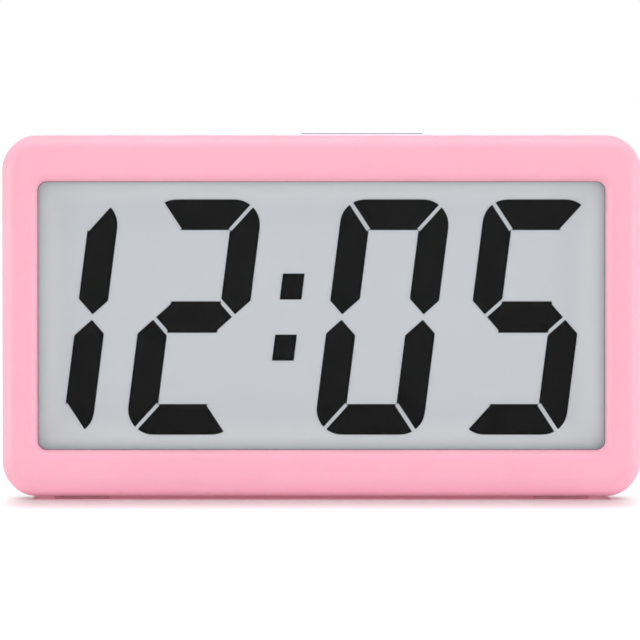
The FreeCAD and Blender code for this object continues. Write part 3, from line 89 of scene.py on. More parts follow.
class Slot(Enum):
    """The record's material slots of the pieces that are made here."""

    PINK = "pink_plastic"
    GREY = "button_grey"
    SEAL = "seal_resin"
    GLASS = "display_glass"
    BLACK = "segment_black"
    JACKET = "cell_jacket"
    STEEL = "screw_steel"
    RUBBER = "foot_rubber"


class Button(Enum):
    """The four buttons on the back."""

    MODE = "mode"
    SET = "set"
    UP = "up"
    DOWN = "down"

    @property
    def body(self) -> Body:
        """Return the body that the button rides on."""
        return Body[self.name]

    @property
    def node(self) -> str:
        """Return the name of the button's node."""
        return f"button_{self.value}"


class Side(Enum):
    """A side of the clock, with its sign."""

    LEFT = -1
    RIGHT = 1

    @property
    def label(self) -> str:
        """Return the side's name as the nodes have it."""
        return self.name.lower()


class Operation(Enum):
    """Arithmetic of a material's masks."""

    MAXIMUM = "MAXIMUM"
    MULTIPLY = "MULTIPLY"
    SUBTRACT = "SUBTRACT"
    ABSOLUTE = "ABSOLUTE"


class Plane(Enum):
    """Two axes that a rectangle lies along."""

    FLAT = "XY"
    UPRIGHT = "XZ"


# ---------------------------------------------------------------- meshes


def grid_faces(rows: int, columns: int, close_rows: bool, close_columns: bool) -> np.ndarray:
    """Number the four corners of every cell of a grid of points.

    Point (r, c) has the number r * columns + c. A closed direction joins its last line to its first.

    Args:
        rows: Number of lines of points.
        columns: Points in each line.
        close_rows: True if the last line meets the first one.
        close_columns: True if each line closes on itself.

    Returns:
        An array with one row of four numbers for each cell.
    """
    r = np.arange(rows if close_rows else rows - 1)
    c = np.arange(columns if close_columns else columns - 1)
    r, c = np.meshgrid(r, c, indexing="ij")
    r2, c2 = (r + 1) % rows, (c + 1) % columns
    cells = np.stack([r * columns + c, r * columns + c2, r2 * columns + c2, r2 * columns + c], axis=-1)
    return cells.reshape(-1, 4)


def clean_mesh(mesh: bpy.types.Mesh, outwards: bool, distance: float = SEAM, flat: float = 0.0) -> None:
    """Merge points that coincide, which closes seams and poles, and tidy the faces.

    Args:
        mesh: The mesh to clean.
        outwards: True to turn the faces outwards.
        distance: Points nearer to each other than this, in metres, become one.
        flat: Faces that meet at less than this many degrees become one face.
    """
    work = bmesh.new()
    work.from_mesh(mesh)
    bmesh.ops.remove_doubles(work, verts=work.verts, dist=distance)
    bmesh.ops.dissolve_degenerate(work, edges=work.edges, dist=distance)
    if outwards:
        bmesh.ops.recalc_face_normals(work, faces=work.faces)
    if flat:
        bmesh.ops.dissolve_limit(work, angle_limit=math.radians(flat), verts=work.verts, edges=work.edges)
    work.to_mesh(mesh)
    work.free()
    mesh.update()


def mesh_object(name: str, shells: Iterable[Shell]) -> Piece:
    """Make one object out of several shells of points and faces, with its normals outwards.

    Args:
        name: Name of the object.
        shells: Pairs of an array of points in metres, (..., 3), and an (m, 4) array of faces.

    Returns:
        The new object, at the origin.
    """
    points, faces, count = [], [], 0
    for shell_points, shell_faces in shells:
        flat = shell_points.reshape(-1, 3)
        points.append(flat)
        faces.append(shell_faces + count)
        count += len(flat)
    mesh = bpy.data.meshes.new(name)
    mesh.from_pydata(np.concatenate(points).tolist(), [], np.concatenate(faces).tolist())
    made = bpy.data.objects.new(name, mesh)
    bpy.context.scene.collection.objects.link(made)
    clean_mesh(mesh, outwards=True)
    return made


def read(items: bpy.types.bpy_prop_collection, name: str, width: int = 1, kind: type = float) -> np.ndarray:
    """Read one property of all vertices, corners or faces of a mesh at once.

    Args:
        items: The vertices, corners or faces.
        name: Name of the property.
        width: Numbers for each item.
        kind: Type of the numbers.

    Returns:
        One number for each item, or one row of numbers where the width is over 1.
    """
    values = np.empty(len(items) * width, kind)
    items.foreach_get(name, values)
    return values.reshape(-1, width) if width > 1 else values


def shade(made: Piece, angle: float = 35.0) -> Piece:
    """Shade an object smooth, but for its sharper edges.

    Args:
        made: The object.
        angle: Edges sharper than this, in degrees, stay sharp.

    Returns:
        The same object.
    """
    made.data.shade_smooth()
    made.data.set_sharp_from_angle(angle=math.radians(angle))
    return made


def weigh_normals(made: Piece, weight: int = 100) -> Piece:
    """Let large flat faces keep their own normals beside small rounded ones.

    Args:
        made: The object.
        weight: How far the large faces win, from 1 to 100.

    Returns:
        The same object.
    """
    modifier = made.modifiers.new("weighted_normals", "WEIGHTED_NORMAL")
    modifier.keep_sharp = True
    modifier.weight = weight
    return made


def soften_edges(made: Piece, width: float, segments: int = 3, angle: float = 35.0) -> Piece:
    """Round the sharp edges of an object a little.

    Args:
        made: The object.
        width: Width of the rounding in millimetres.
        segments: Steps of the rounding.
        angle: Edges sharper than this, in degrees, are rounded.

    Returns:
        The same object.
    """
    modifier = made.modifiers.new("edges", "BEVEL")
    modifier.width = width * MM
    modifier.segments = segments
    modifier.limit_method = "ANGLE"
    modifier.angle_limit = math.radians(angle)
    modifier.harden_normals = True
    return made


def rounded_ring(half_width: float, half_height: float, corner: float, steps: int = 16) -> np.ndarray:
    """Return points round a rectangle with round corners.

    The four quarter circles are (centre + corner * (cos a, sin a)), with a running once round.
    Rings with the same number of steps match point for point.

    Args:
        half_width: Half the width.
        half_height: Half the height.
        corner: Radius of the corners.
        steps: Points on each corner, less one.

    Returns:
        An array of (u, v) pairs.
    """
    quarter = np.linspace(0.0, math.pi / 2, steps + 1)
    turns = np.concatenate([quarter + k * math.pi / 2 for k in range(4)])
    side = np.repeat(np.array([[1, 1], [-1, 1], [-1, -1], [1, -1]]), steps + 1, axis=0)
    centre = side * np.array([half_width - corner, half_height - corner])
    return centre + corner * np.stack([np.cos(turns), np.sin(turns)], axis=-1)


def arc(centre: Point, radius: float, start: float, end: float, steps: int) -> np.ndarray:
    """Return points (centre + radius * (cos a, sin a)) on an arc, with a from start to end in degrees."""
    turns = np.radians(np.linspace(start, end, steps + 1))
    return np.array(centre) + radius * np.stack([np.cos(turns), np.sin(turns)], axis=-1)


def turned(profile: Sequence[Point], steps: int) -> Shell:
    """Turn a profile of (radius, height) pairs round the axis.

    The surface is (radius * cos a, radius * sin a, height), with a running once round.

    Args:
        profile: Radii and heights, from one pole to the other.
        steps: Points round the axis.

    Returns:
        The (rows, steps, 3) points, with the axis along the third coordinate, and the faces.
    """
    along = np.array(profile, float)
    around = np.linspace(0.0, 2 * math.pi, steps, endpoint=False)
    radius, height = along[:, :1], along[:, 1:]
    points = np.stack(np.broadcast_arrays(radius * np.cos(around), radius * np.sin(around), height), axis=-1)
    return points, grid_faces(len(along), steps, False, True)


def framed(profile: Sequence[Ring], middle: float) -> Shell:
    """Carry a closed profile round a rectangle with round corners.

    Ring k is such a rectangle at the depth y of the profile's point k, and the last ring closes on
    the first.

    Args:
        profile: Half width, half height, corner and depth of each ring, in millimetres.
        middle: Height of the rectangle's centre, in millimetres.

    Returns:
        The points in metres and the faces.
    """
    rings = []
    for half_width, half_height, corner, y in profile:
        outline = rounded_ring(half_width, half_height, corner) + (0.0, middle)
        rings.append(np.insert(outline, 1, y, axis=1))
    points = np.stack(rings) * MM
    return points, grid_faces(len(rings), points.shape[1], True, True)


def box_shell(low: Sequence[float], high: Sequence[float]) -> Shell:
    """Return a box: a ring of four points carried upwards, with the two rings as caps.

    Args:
        low: Lowest corner, in millimetres.
        high: Highest corner, in millimetres.

    Returns:
        The points in metres and the faces.
    """
    (x0, y0, z0), (x1, y1, z1) = low, high
    ring = np.array([[x0, y0], [x1, y0], [x1, y1], [x0, y1]])
    points = np.concatenate([np.insert(ring, 2, z0, axis=1), np.insert(ring, 2, z1, axis=1)]) * MM
    faces = np.concatenate([grid_faces(2, 4, False, True), [[3, 2, 1, 0], [4, 5, 6, 7]]])
    return points, faces


def raised_shell(outline: np.ndarray, base: float, top: float, draft: float, upright: float = 0.6) -> Shell:
    """Return a low raised shape on a surface that faces backwards, closed below and above.

    The outline rises from base to top, where it has drawn in towards its middle by the draft, and
    both ends run in to the middle point.

    Args:
        outline: Points (x, z) once round the shape, in millimetres; every point sees the middle.
        base: Depth y of its foot.
        top: Depth y of its face.
        draft: Share of the outline's size that is lost on the way up.
        upright: Share of the way up on which it stays upright.

    Returns:
        The points in metres and the faces.
    """
    middle = outline.mean(axis=0)
    shoulder = base + upright * (top - base)
    shares = ((0.0, base), (1.0, base), (1.0, shoulder), (1.0 - draft, top), (0.0, top))
    rings = [np.insert(middle + share * (outline - middle), 1, y, axis=1) for share, y in shares]
    points = np.stack(rings) * MM
    return points, grid_faces(len(rings), len(outline), False, True)


def place(made: Piece, body: Body, slot: Slot, *nodes: str) -> Piece:
    """Tie a finished piece to its body, and hide the nodes that it stands for.

    Args:
        made: The piece.
        body: The body that carries it.
        slot: The record's material slot; not used.
        *nodes: Names of the nodes that it replaces, if any.

    Returns:
        The same piece.
    """
    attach(made, body.value)
    if nodes:
        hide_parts(*nodes)
    return made


def smooth_copy(node: str, body: Body, slot: Slot, angle: float = 35.0) -> Piece:
    """Copy a CAD node's mesh, merge its loose triangles, shade it and let it stand for the node.

    Args:
        node: Name of the node.
        body: The body that carries it.
        slot: The record's material slot of the node.
        angle: Edges sharper than this, in degrees, stay sharp.

    Returns:
        The new piece.
    """
    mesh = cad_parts[node].data.copy()
    made = bpy.data.objects.new(f"{node}_piece", mesh)
    bpy.context.scene.collection.objects.link(made)
    mesh.materials.clear()
    clean_mesh(mesh, outwards=False, distance=CAD_SEAM, flat=CAD_FLAT)
    return place(shade(made, angle), body, slot, node)


def trimmed_copy(node: str, slot: Slot, front: float, angle: float = 20.0) -> Piece:
    """Copy a CAD node of the case with its front face set back, so that no two faces coincide.

    Each point's y becomes the larger of itself and the new front.

    Args:
        node: Name of the node.
        slot: The record's material slot of the node.
        front: Depth of the new front face, in millimetres.
        angle: Edges sharper than this, in degrees, stay sharp.

    Returns:
        The new piece.
    """
    made = smooth_copy(node, Body.CASE, slot, angle)
    points = read(made.data.vertices, "co", 3)
    points[:, 1] = np.maximum(points[:, 1], front * MM)
    made.data.vertices.foreach_set("co", points.ravel())
    made.data.update()
    return made


def dress(made: Piece, material: bpy.types.Material) -> Piece:
    """Give an object one material.

    Args:
        made: The object.
        material: The material.

    Returns:
        The same object.
    """
    made.data.materials.clear()
    made.data.materials.append(material)
    return made


def dress_nodes(material: bpy.types.Material, *nodes: str) -> list[Piece]:
    """Give one material to CAD nodes that are shown as they are."""
    return [dress(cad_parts[name], material) for name in nodes]


# ---------------------------------------------------------------- materials


def linear(red: float, green: float, blue: float) -> Colour:
    """Turn a colour from display values into scene-linear ones, by the sRGB curve.

    Args:
        red: Display value from 0 to 255.
        green: Display value from 0 to 255.
        blue: Display value from 0 to 255.

    Returns:
        The colour, from 0 to 1.
    """
    shares = np.array([red, green, blue]) / 255.0
    low = shares / 12.92
    high = ((shares + 0.055) / 1.055) ** 2.4
    return tuple(float(v) for v in np.where(shares <= 0.04045, low, high))


def shifted(colour: Colour, factor: float) -> Colour:
    """Return a colour made lighter or darker by a factor."""
    return tuple(min(1.0, v * factor) for v in colour)


@dataclass(frozen=True)
class Waves:
    """A pattern of soft waves: waves per metre, finer layers, their strength, and scale along X, Y, Z."""

    scale: float
    detail: float = 2.0
    roughness: float = 0.5
    stretch: Triple = (1.0, 1.0, 1.0)


class NodeWork:
    """A node tree that is built node by node."""

    def __init__(self, tree: bpy.types.NodeTree) -> None:
        """Take the node tree of a material or of the world."""
        self.tree = tree
        self.nodes = tree.nodes

    def add(self, kind: str, **inputs: object) -> bpy.types.Node:
        """Add a node and set its inputs or properties by name.

        Args:
            kind: Blender's name of the node type.
            **inputs: Values; underscores stand for spaces in names of inputs.

        Returns:
            The node.
        """
        node = self.nodes.new(kind)
        for name, value in inputs.items():
            if hasattr(node, name):
                setattr(node, name, value)
            else:
                node.inputs[name.replace("_", " ")].default_value = value
        return node

    def join(self, source: Socket | Colour | float, target: Socket) -> None:
        """Link an output to an input, or set the input to a colour or a number.

        Args:
            source: The output, the colour or the number.
            target: The input.
        """
        if isinstance(source, bpy.types.NodeSocket):
            self.tree.links.new(source, target)
        else:
            target.default_value = (*source, OPAQUE) if isinstance(source, tuple) else source

    def combine(self, operation: Operation, first: Socket | float, second: Socket | float = 0.0) -> Socket:
        """Join two values by one step of arithmetic.

        Args:
            operation: The step.
            first: The first value.
            second: The second value, if the step has one.

        Returns:
            The result.
        """
        node = self.add("ShaderNodeMath", operation=operation.value)
        self.join(first, node.inputs[0])
        self.join(second, node.inputs[1])
        return node.outputs[0]

    def step(self, source: Socket, low: float, high: float) -> Socket:
        """Return a smooth step of a value.

        Args:
            source: The value.
            low: Below this the step is 0.
            high: Above this the step is 1.

        Returns:
            The step.
        """
        node = self.add("ShaderNodeMapRange", interpolation_type="SMOOTHSTEP", From_Min=low, From_Max=high)
        self.join(source, node.inputs["Value"])
        return node.outputs["Result"]

    def seen_directly(self) -> Socket:
        """Mark the rays that come from the camera, straight, by mirroring or through glass.

        Returns:
            A value that is 1 for such rays and 0 for others.
        """
        rays = self.add("ShaderNodeLightPath")
        total = rays.outputs["Is Camera Ray"]
        for name in ("Is Glossy Ray", "Is Transmission Ray"):
            total = self.combine(Operation.MAXIMUM, total, rays.outputs[name])
        return total


class Tree(NodeWork):
    """A material with a Principled shader."""

    def __init__(self, name: str) -> None:
        """Start the material.

        Args:
            name: Name of the material.
        """
        self.material = bpy.data.materials.new(name)
        self.material.use_nodes = True
        super().__init__(self.material.node_tree)
        self.shader = self.nodes["Principled BSDF"]
        self.coordinates = self.add("ShaderNodeTexCoord").outputs["Object"]

    def noise(self, waves: Waves) -> Socket:
        """Add a noise on Object coordinates.

        Args:
            waves: The pattern.

        Returns:
            The noise's value, mostly between 0.3 and 0.7.
        """
        mapping = self.add("ShaderNodeMapping", vector_type="POINT", Scale=waves.stretch)
        self.join(self.coordinates, mapping.inputs["Vector"])
        noise = self.add("ShaderNodeTexNoise", Scale=waves.scale, Detail=waves.detail,
                         Roughness=waves.roughness)
        self.join(mapping.outputs["Vector"], noise.inputs["Vector"])
        return noise.outputs["Fac"]

    def spread(self, source: Socket, low: float = 0.0, high: float = 1.0) -> Socket:
        """Map a noise onto a range.

        Args:
            source: The noise's value.
            low: Lower end of the range.
            high: Upper end of the range.

        Returns:
            The mapped value.
        """
        node = self.add("ShaderNodeMapRange", From_Min=NOISE_LOW, From_Max=NOISE_HIGH,
                        To_Min=low, To_Max=high)
        self.join(source, node.inputs["Value"])
        return node.outputs["Result"]

    def cloud(self, waves: Waves) -> Socket:
        """Return a noise that runs from 0 to 1."""
        return self.spread(self.noise(waves))

    def past_box(self, plane: Plane, centre: Point, half: Sequence[float], edge: float) -> Socket:
        """Return a mask of a rectangle: 0 inside it, 1 past it, with a soft step along its edge.

        Args:
            plane: The two axes that the rectangle lies along.
            centre: Its centre on these axes, in millimetres.
            half: Half its size along these axes, in millimetres.
            edge: Width of the step, which ends at the rectangle's edge, in millimetres.

        Returns:
            The larger of the two steps in the distance from the centre.
        """
        parts = self.add("ShaderNodeSeparateXYZ")
        self.join(self.coordinates, parts.inputs[0])
        steps = []
        for axis, middle, reach in zip(plane.value, centre, half):
            moved = self.combine(Operation.SUBTRACT, parts.outputs[axis], middle * MM)
            size = self.combine(Operation.ABSOLUTE, moved)
            steps.append(self.step(size, (reach - edge) * MM, reach * MM))
        return self.combine(Operation.MAXIMUM, *steps)

    def blend(self, share: Socket, first: Socket | Colour, second: Socket | Colour) -> Socket:
        """Mix two colours.

        Args:
            share: Share of the second colour, from 0 to 1.
            first: The first colour.
            second: The second colour.

        Returns:
            The mixed colour.
        """
        node = self.add("ShaderNodeMix", data_type="RGBA")
        self.join(first, node.inputs[FIRST_COLOUR])
        self.join(second, node.inputs[SECOND_COLOUR])
        self.join(share, node.inputs["Factor"])
        return node.outputs[MIXED_COLOUR]

    def colour(self, share: Socket, first: Socket | Colour, second: Socket | Colour) -> None:
        """Colour the surface with a mix of two colours."""
        self.join(self.blend(share, first, second), self.shader.inputs["Base Color"])

    def gloss(self, noise: Socket, low: float, high: float) -> None:
        """Let the roughness follow a noise, from low to high."""
        self.join(self.spread(noise, low, high), self.shader.inputs["Roughness"])

    def bump(self, height: Socket, strength: float, depth: float) -> None:
        """Raise the surface.

        Args:
            height: The height, from 0 to 1.
            strength: How much of it shows.
            depth: Height of a full step, in millimetres.
        """
        node = self.add("ShaderNodeBump", Strength=strength, Distance=depth * MM)
        self.join(height, node.inputs["Height"])
        self.join(node.outputs["Normal"], self.shader.inputs["Normal"])

    def set(self, **values: object) -> None:
        """Set constants on the shader's own sockets; underscores stand for spaces."""
        for name, value in values.items():
            self.shader.inputs[name.replace("_", " ")].default_value = value


class Finish(Protocol):
    """What every finish has: a name and a way to build its material."""

    name: str

    def material(self) -> bpy.types.Material:
        """Build the material."""


def material_of(finish: Finish) -> bpy.types.Material:
    """Return the material of a finish, built the first time that it is asked for."""
    return bpy.data.materials.get(finish.name) or finish.material()


# ---------------------------------------------------------------- finishes


@dataclass(frozen=True)
class MouldedPlastic:
    """Moulded plastic: a faint unevenness of colour and sheen, and a fine spark-eroded grain."""

    name: str
    colour: Colour
    roughness: float = 0.42
    unevenness: float = 0.02
    specular: float = 0.4
    depth: float = 0.0
    cloud: Waves = Waves(38.0, 3.0)
    sheen: Waves = Waves(160.0, 4.0)
    swing: float = 0.04
    grain: Waves = Waves(2600.0, 3.0, 0.6)
    grain_strength: float = 0.25
    grain_depth: float = 0.02
    inner_share: float = 0.25
    inner_reach: Triple = (1.0, 0.3, 0.35)

    def material(self) -> bpy.types.Material:
        """Build the material.

        Returns:
            The material; light enters the surface where the finish has a depth.
        """
        tree = Tree(self.name)
        deep, pale = shifted(self.colour, 1 - self.unevenness), shifted(self.colour, 1 + self.unevenness)
        tree.colour(tree.cloud(self.cloud), deep, pale)
        tree.gloss(tree.noise(self.sheen), self.roughness - self.swing, self.roughness + self.swing)
        tree.bump(tree.noise(self.grain), self.grain_strength, self.grain_depth)
        tree.set(Specular_IOR_Level=self.specular)
        if self.depth:
            tree.set(Subsurface_Weight=self.inner_share, Subsurface_Radius=self.inner_reach,
                     Subsurface_Scale=self.depth * MM)
        return tree.material


@dataclass(frozen=True)
class ClearSheet:
    """Clear sheet that light passes straight through, with a faint haze that grows at a low angle."""

    name: str
    tint: Colour
    haze: float
    glancing: float
    roughness: float
    swing: float = 0.02
    dimmed: float = 0.97
    sheen: Waves = Waves(400.0)
    cloud: Waves = Waves(25.0, 1.0)
    edge_blend: float = 0.12
    specular: float = 0.5

    def material(self) -> bpy.types.Material:
        """Build the material.

        Returns:
            The material; its opacity runs from haze, seen straight, to glancing at a low angle.
        """
        tree = Tree(self.name)
        tree.gloss(tree.noise(self.sheen), self.roughness - self.swing, self.roughness + self.swing)
        tree.colour(tree.cloud(self.cloud), shifted(self.tint, self.dimmed), self.tint)
        angle = tree.add("ShaderNodeLayerWeight", Blend=self.edge_blend)
        share = tree.add("ShaderNodeMapRange", To_Min=self.haze, To_Max=self.glancing)
        tree.join(angle.outputs["Fresnel"], share.inputs["Value"])
        tree.join(share.outputs["Result"], tree.shader.inputs["Alpha"])
        tree.set(Specular_IOR_Level=self.specular)
        return tree.material


@dataclass(frozen=True)
class CrystalLayer:
    """Lit liquid crystal: nearly black, matt, slightly uneven."""

    name: str
    colour: Colour
    unevenness: float = 0.1
    cloud: Waves = Waves(60.0, 3.0)
    sheen: Waves = Waves(300.0)
    roughness: tuple[float, float] = (0.75, 0.9)
    specular: float = 0.05

    def material(self) -> bpy.types.Material:
        """Build the material.

        Returns:
            The material.
        """
        tree = Tree(self.name)
        deep, pale = shifted(self.colour, 1 - self.unevenness), shifted(self.colour, 1 + self.unevenness)
        tree.colour(tree.cloud(self.cloud), deep, pale)
        tree.gloss(tree.noise(self.sheen), *self.roughness)
        tree.set(Specular_IOR_Level=self.specular)
        return tree.material


@dataclass(frozen=True)
class ReflectorFilm:
    """Pale diffusing film behind the display, with a fine pearly grain.

    Its rim is painted paler, painted light that evens out the shade which the frame's walls cast
    near the window's edges. The rim's width, the film's centre and half its size are in millimetres.
    """

    name: str
    colour: Colour
    painted_light_rim_colour: Colour
    rim: float = 9.0
    centre: Point = (-1.0, 48.5)
    half: Point = (73.5, 35.0)
    unevenness: float = 0.015
    cloud: Waves = Waves(14.0)
    sheen: Waves = Waves(1500.0)
    roughness: tuple[float, float] = (0.7, 0.85)
    grain: Waves = Waves(3000.0, 1.0)
    grain_strength: float = 0.1
    grain_depth: float = 0.01
    specular: float = 0.1

    def material(self) -> bpy.types.Material:
        """Build the material.

        Returns:
            The material.
        """
        tree = Tree(self.name)
        deep, pale = shifted(self.colour, 1 - self.unevenness), shifted(self.colour, 1 + self.unevenness)
        middle = tree.blend(tree.cloud(self.cloud), deep, pale)
        # Painted light: the rim is paler to even out the shade near the window's walls.
        tree.colour(tree.past_box(Plane.UPRIGHT, self.centre, self.half, self.rim), middle, self.painted_light_rim_colour)
        tree.gloss(tree.noise(self.sheen), *self.roughness)
        tree.bump(tree.noise(self.grain), self.grain_strength, self.grain_depth)
        tree.set(Specular_IOR_Level=self.specular)
        return tree.material


@dataclass(frozen=True)
class PlatedMetal:
    """Plated or drawn metal with faint marks that run along one direction."""

    name: str
    colour: Colour
    roughness: float = 0.3
    stretch: Triple = (1.0, 1.0, 1.0)
    dimmed: float = 0.9
    smoother: float = 0.06
    rougher: float = 0.08
    mark_waves: float = 1200.0
    mark_detail: float = 4.0
    mark_roughness: float = 0.6
    mark_strength: float = 0.15
    mark_depth: float = 0.01

    def material(self) -> bpy.types.Material:
        """Build the material.

        Returns:
            The material; one pattern of marks drives its colour, gloss and relief.
        """
        tree = Tree(self.name)
        marks = tree.noise(Waves(self.mark_waves, self.mark_detail, self.mark_roughness, self.stretch))
        tree.colour(tree.spread(marks), shifted(self.colour, self.dimmed), self.colour)
        tree.gloss(marks, self.roughness - self.smoother, self.roughness + self.rougher)
        tree.bump(marks, self.mark_strength, self.mark_depth)
        tree.set(Metallic=1.0)
        return tree.material


@dataclass(frozen=True)
class SoftRubber:
    """Soft rubber: matt, with fine dust and a pebbled surface."""

    name: str
    colour: Colour
    dusty: float = 1.25
    dust: Waves = Waves(350.0, 5.0, 0.7)
    sheen: Waves = Waves(500.0)
    roughness: tuple[float, float] = (0.65, 0.85)
    pebbles: Waves = Waves(1800.0)
    pebble_strength: float = 0.3
    pebble_depth: float = 0.03
    specular: float = 0.3

    def material(self) -> bpy.types.Material:
        """Build the material.

        Returns:
            The material.
        """
        tree = Tree(self.name)
        tree.colour(tree.cloud(self.dust), self.colour, shifted(self.colour, self.dusty))
        tree.gloss(tree.noise(self.sheen), *self.roughness)
        tree.bump(tree.noise(self.pebbles), self.pebble_strength, self.pebble_depth)
        tree.set(Specular_IOR_Level=self.specular)
        return tree.material


@dataclass(frozen=True)
class SolderMask:
    """Green solder mask, lighter where copper tracks lie under it.

    The tracks are rows of long cells: how many to the metre, and the gap, length and pitch of a row
    as shares of a cell.
    """

    name: str
    mask: Colour
    track: Colour
    tracks: float = 190.0
    gap: float = 0.03
    length: float = 0.9
    pitch: float = 0.35
    sheen: Waves = Waves(500.0)
    roughness: tuple[float, float] = (0.25, 0.4)
    track_strength: float = 0.3
    track_depth: float = 0.03

    def material(self) -> bpy.types.Material:
        """Build the material.

        Returns:
            The material, with its tracks in the upright plane.
        """
        tree = Tree(self.name)
        turn = tree.add("ShaderNodeMapping", Rotation=(math.radians(90), 0, 0))
        tree.join(tree.coordinates, turn.inputs["Vector"])
        cells = tree.add("ShaderNodeTexBrick", Scale=self.tracks, Mortar_Size=self.gap,
                         Brick_Width=self.length, Row_Height=self.pitch)
        tree.join(turn.outputs["Vector"], cells.inputs["Vector"])
        tree.colour(cells.outputs["Fac"], self.mask, self.track)
        tree.gloss(tree.noise(self.sheen), *self.roughness)
        tree.bump(cells.outputs["Fac"], self.track_strength, self.track_depth)
        return tree.material


@dataclass(frozen=True)
class CellJacket:
    """Printed jacket of a cell: plain bands along X and bare metal at its ends.

    Each band has the share of the length at which it starts. Start and length are in millimetres.
    """

    name: str
    bands: Bands
    start: float
    length: float
    sheen: Waves = Waves(250.0, 4.0)
    roughness: tuple[float, float] = (0.24, 0.36)
    print_grain: Waves = Waves(700.0, 3.0)
    print_strength: float = 0.1
    print_depth: float = 0.02
    metallic: float = 0.35
    new_stop: float = 0.5

    def material(self) -> bpy.types.Material:
        """Build the material.

        Returns:
            The material.
        """
        tree = Tree(self.name)
        split = tree.add("ShaderNodeSeparateXYZ")
        tree.join(tree.coordinates, split.inputs["Vector"])
        low, high = self.start * MM, (self.start + self.length) * MM
        share = tree.add("ShaderNodeMapRange", From_Min=low, From_Max=high)
        tree.join(split.outputs["X"], share.inputs["Value"])
        ramp = tree.add("ShaderNodeValToRGB")
        ramp.color_ramp.interpolation = "CONSTANT"
        stops = ramp.color_ramp.elements
        while len(stops) < len(self.bands):
            stops.new(self.new_stop)
        for stop, (position, colour) in zip(stops, self.bands):
            stop.position = position
            stop.color = (*colour, OPAQUE)
        tree.join(share.outputs["Result"], ramp.inputs["Fac"])
        tree.join(ramp.outputs["Color"], tree.shader.inputs["Base Color"])
        tree.gloss(tree.noise(self.sheen), *self.roughness)
        tree.bump(tree.noise(self.print_grain), self.print_strength, self.print_depth)
        tree.set(Metallic=self.metallic)
        return tree.material


@dataclass(frozen=True)
class Finishes:
    """Every finish of the clock, but for the cells' jackets."""

    case_pink: MouldedPlastic = MouldedPlastic("finish_case_pink", linear(252, 180, 199), depth=2.0)
    key_grey: MouldedPlastic = MouldedPlastic("finish_key_grey", linear(158, 158, 162), 0.45)
    mark_dark: MouldedPlastic = MouldedPlastic("finish_mark_dark", linear(92, 92, 98), 0.5)
    holder_white: MouldedPlastic = MouldedPlastic("finish_holder_white", linear(225, 225, 222), 0.5)
    part_black: MouldedPlastic = MouldedPlastic("finish_part_black", linear(38, 38, 40), 0.5)
    plunger_cream: MouldedPlastic = MouldedPlastic("finish_plunger_cream", linear(214, 210, 196), 0.5)
    capacitor_tan: MouldedPlastic = MouldedPlastic("finish_capacitor_tan", linear(176, 146, 110), 0.55)
    seal: MouldedPlastic = MouldedPlastic("finish_display_seal", linear(165, 168, 170), 0.6)
    # Painted shade: a dark pink bead that stands for the shadow line where the frame meets the window.
    painted_shade_bead: MouldedPlastic = MouldedPlastic("finish_painted_shade_bead", linear(128, 96, 106), 0.7, 0.05, 0.1)
    window: ClearSheet = ClearSheet("finish_window_clear", (0.5, 0.52, 0.54), 0.004, 0.45, 0.14)
    glass: ClearSheet = ClearSheet("finish_display_glass", (0.5, 0.52, 0.52), 0.002, 0.1, 0.2)
    crystal: CrystalLayer = CrystalLayer("finish_crystal_dark", linear(14, 14, 13))
    # Painted light: the film's paler rim colour lifts the shade near the window's edges.
    film: ReflectorFilm = ReflectorFilm("finish_reflector_film", linear(230, 235, 240), linear(245, 252, 255))
    rubber: SoftRubber = SoftRubber("finish_pad_rubber", linear(196, 136, 148))
    strip: SoftRubber = SoftRubber("finish_connector_strip", linear(150, 152, 158))
    board: SolderMask = SolderMask("finish_board_mask", linear(20, 84, 48), linear(44, 122, 74))
    screw: PlatedMetal = PlatedMetal("finish_screw_zinc", linear(196, 196, 200), 0.28)
    nickel: PlatedMetal = PlatedMetal("finish_contact_nickel", linear(205, 203, 196), 0.25, (1, 1, 6))
    can: PlatedMetal = PlatedMetal("finish_crystal_can", linear(200, 202, 206), 0.2, (1, 1, 8))


class SubAssembly(Protocol):
    """What every sub-assembly has: a way to build and dress its pieces."""

    def build(self, finish: Finishes) -> list[Piece]:
        """Build and dress the pieces, and return them."""


# ---------------------------------------------------------------- case


@dataclass
class InnerRibs:
    """Rib round the window, clips and bosses on the inside of the front frame, in millimetres."""

    back: float = -9.3
    rib_depth: float = 3.0
    clip_depth: float = 6.2
    seat: Point = (77.9, 39.3)
    thickness: float = 1.2
    clip_width: float = 8.0
    clip_spread: float = 22.0
    clip_reach: float = 1.05
    clip_nose: float = 1.2
    boss: float = 2.45
    boss_across: float = 70.0
    boss_heights: Point = (5.55, 89.45)
    middle: float = 47.5

    def side_shells(self, side: Side) -> list[Shell]:
        """Return two bars of the rib, two clips with their noses and two bosses, each one a box.

        Args:
            side: The side of the clips and bosses; its sign also picks the lower or upper bar.

        Returns:
            The boxes.
        """
        (u, v), t, s = self.seat, self.thickness, side.value
        front = self.back
        rib_end, clip_end = front + self.rib_depth, front + self.clip_depth
        z0, z1 = sorted((self.middle + s * v, self.middle + s * (v + t)))
        x0, x1 = sorted((s * u, s * (u + t)))
        n0, n1 = sorted((s * u, s * (u - self.clip_reach)))
        made = [box_shell((-u - t, front, z0), (u + t, rib_end, z1)),
                box_shell((x0, front, self.middle - v), (x1, rib_end, self.middle + v))]
        for lift in Side:
            z = self.middle + lift.value * self.clip_spread
            low, high = z - self.clip_width / 2, z + self.clip_width / 2
            made.append(box_shell((x0, rib_end, low), (x1, clip_end, high)))
            made.append(box_shell((n0, clip_end - self.clip_nose, low), (n1, clip_end, high)))
        x, r = s * self.boss_across, self.boss
        made += [box_shell((x - r, front, z - r), (x + r, 0.0, z + r)) for z in self.boss_heights]
        return made

    def shells(self) -> list[Shell]:
        """Return the boxes of both sides."""
        return [shell for side in Side for shell in self.side_shells(side)]


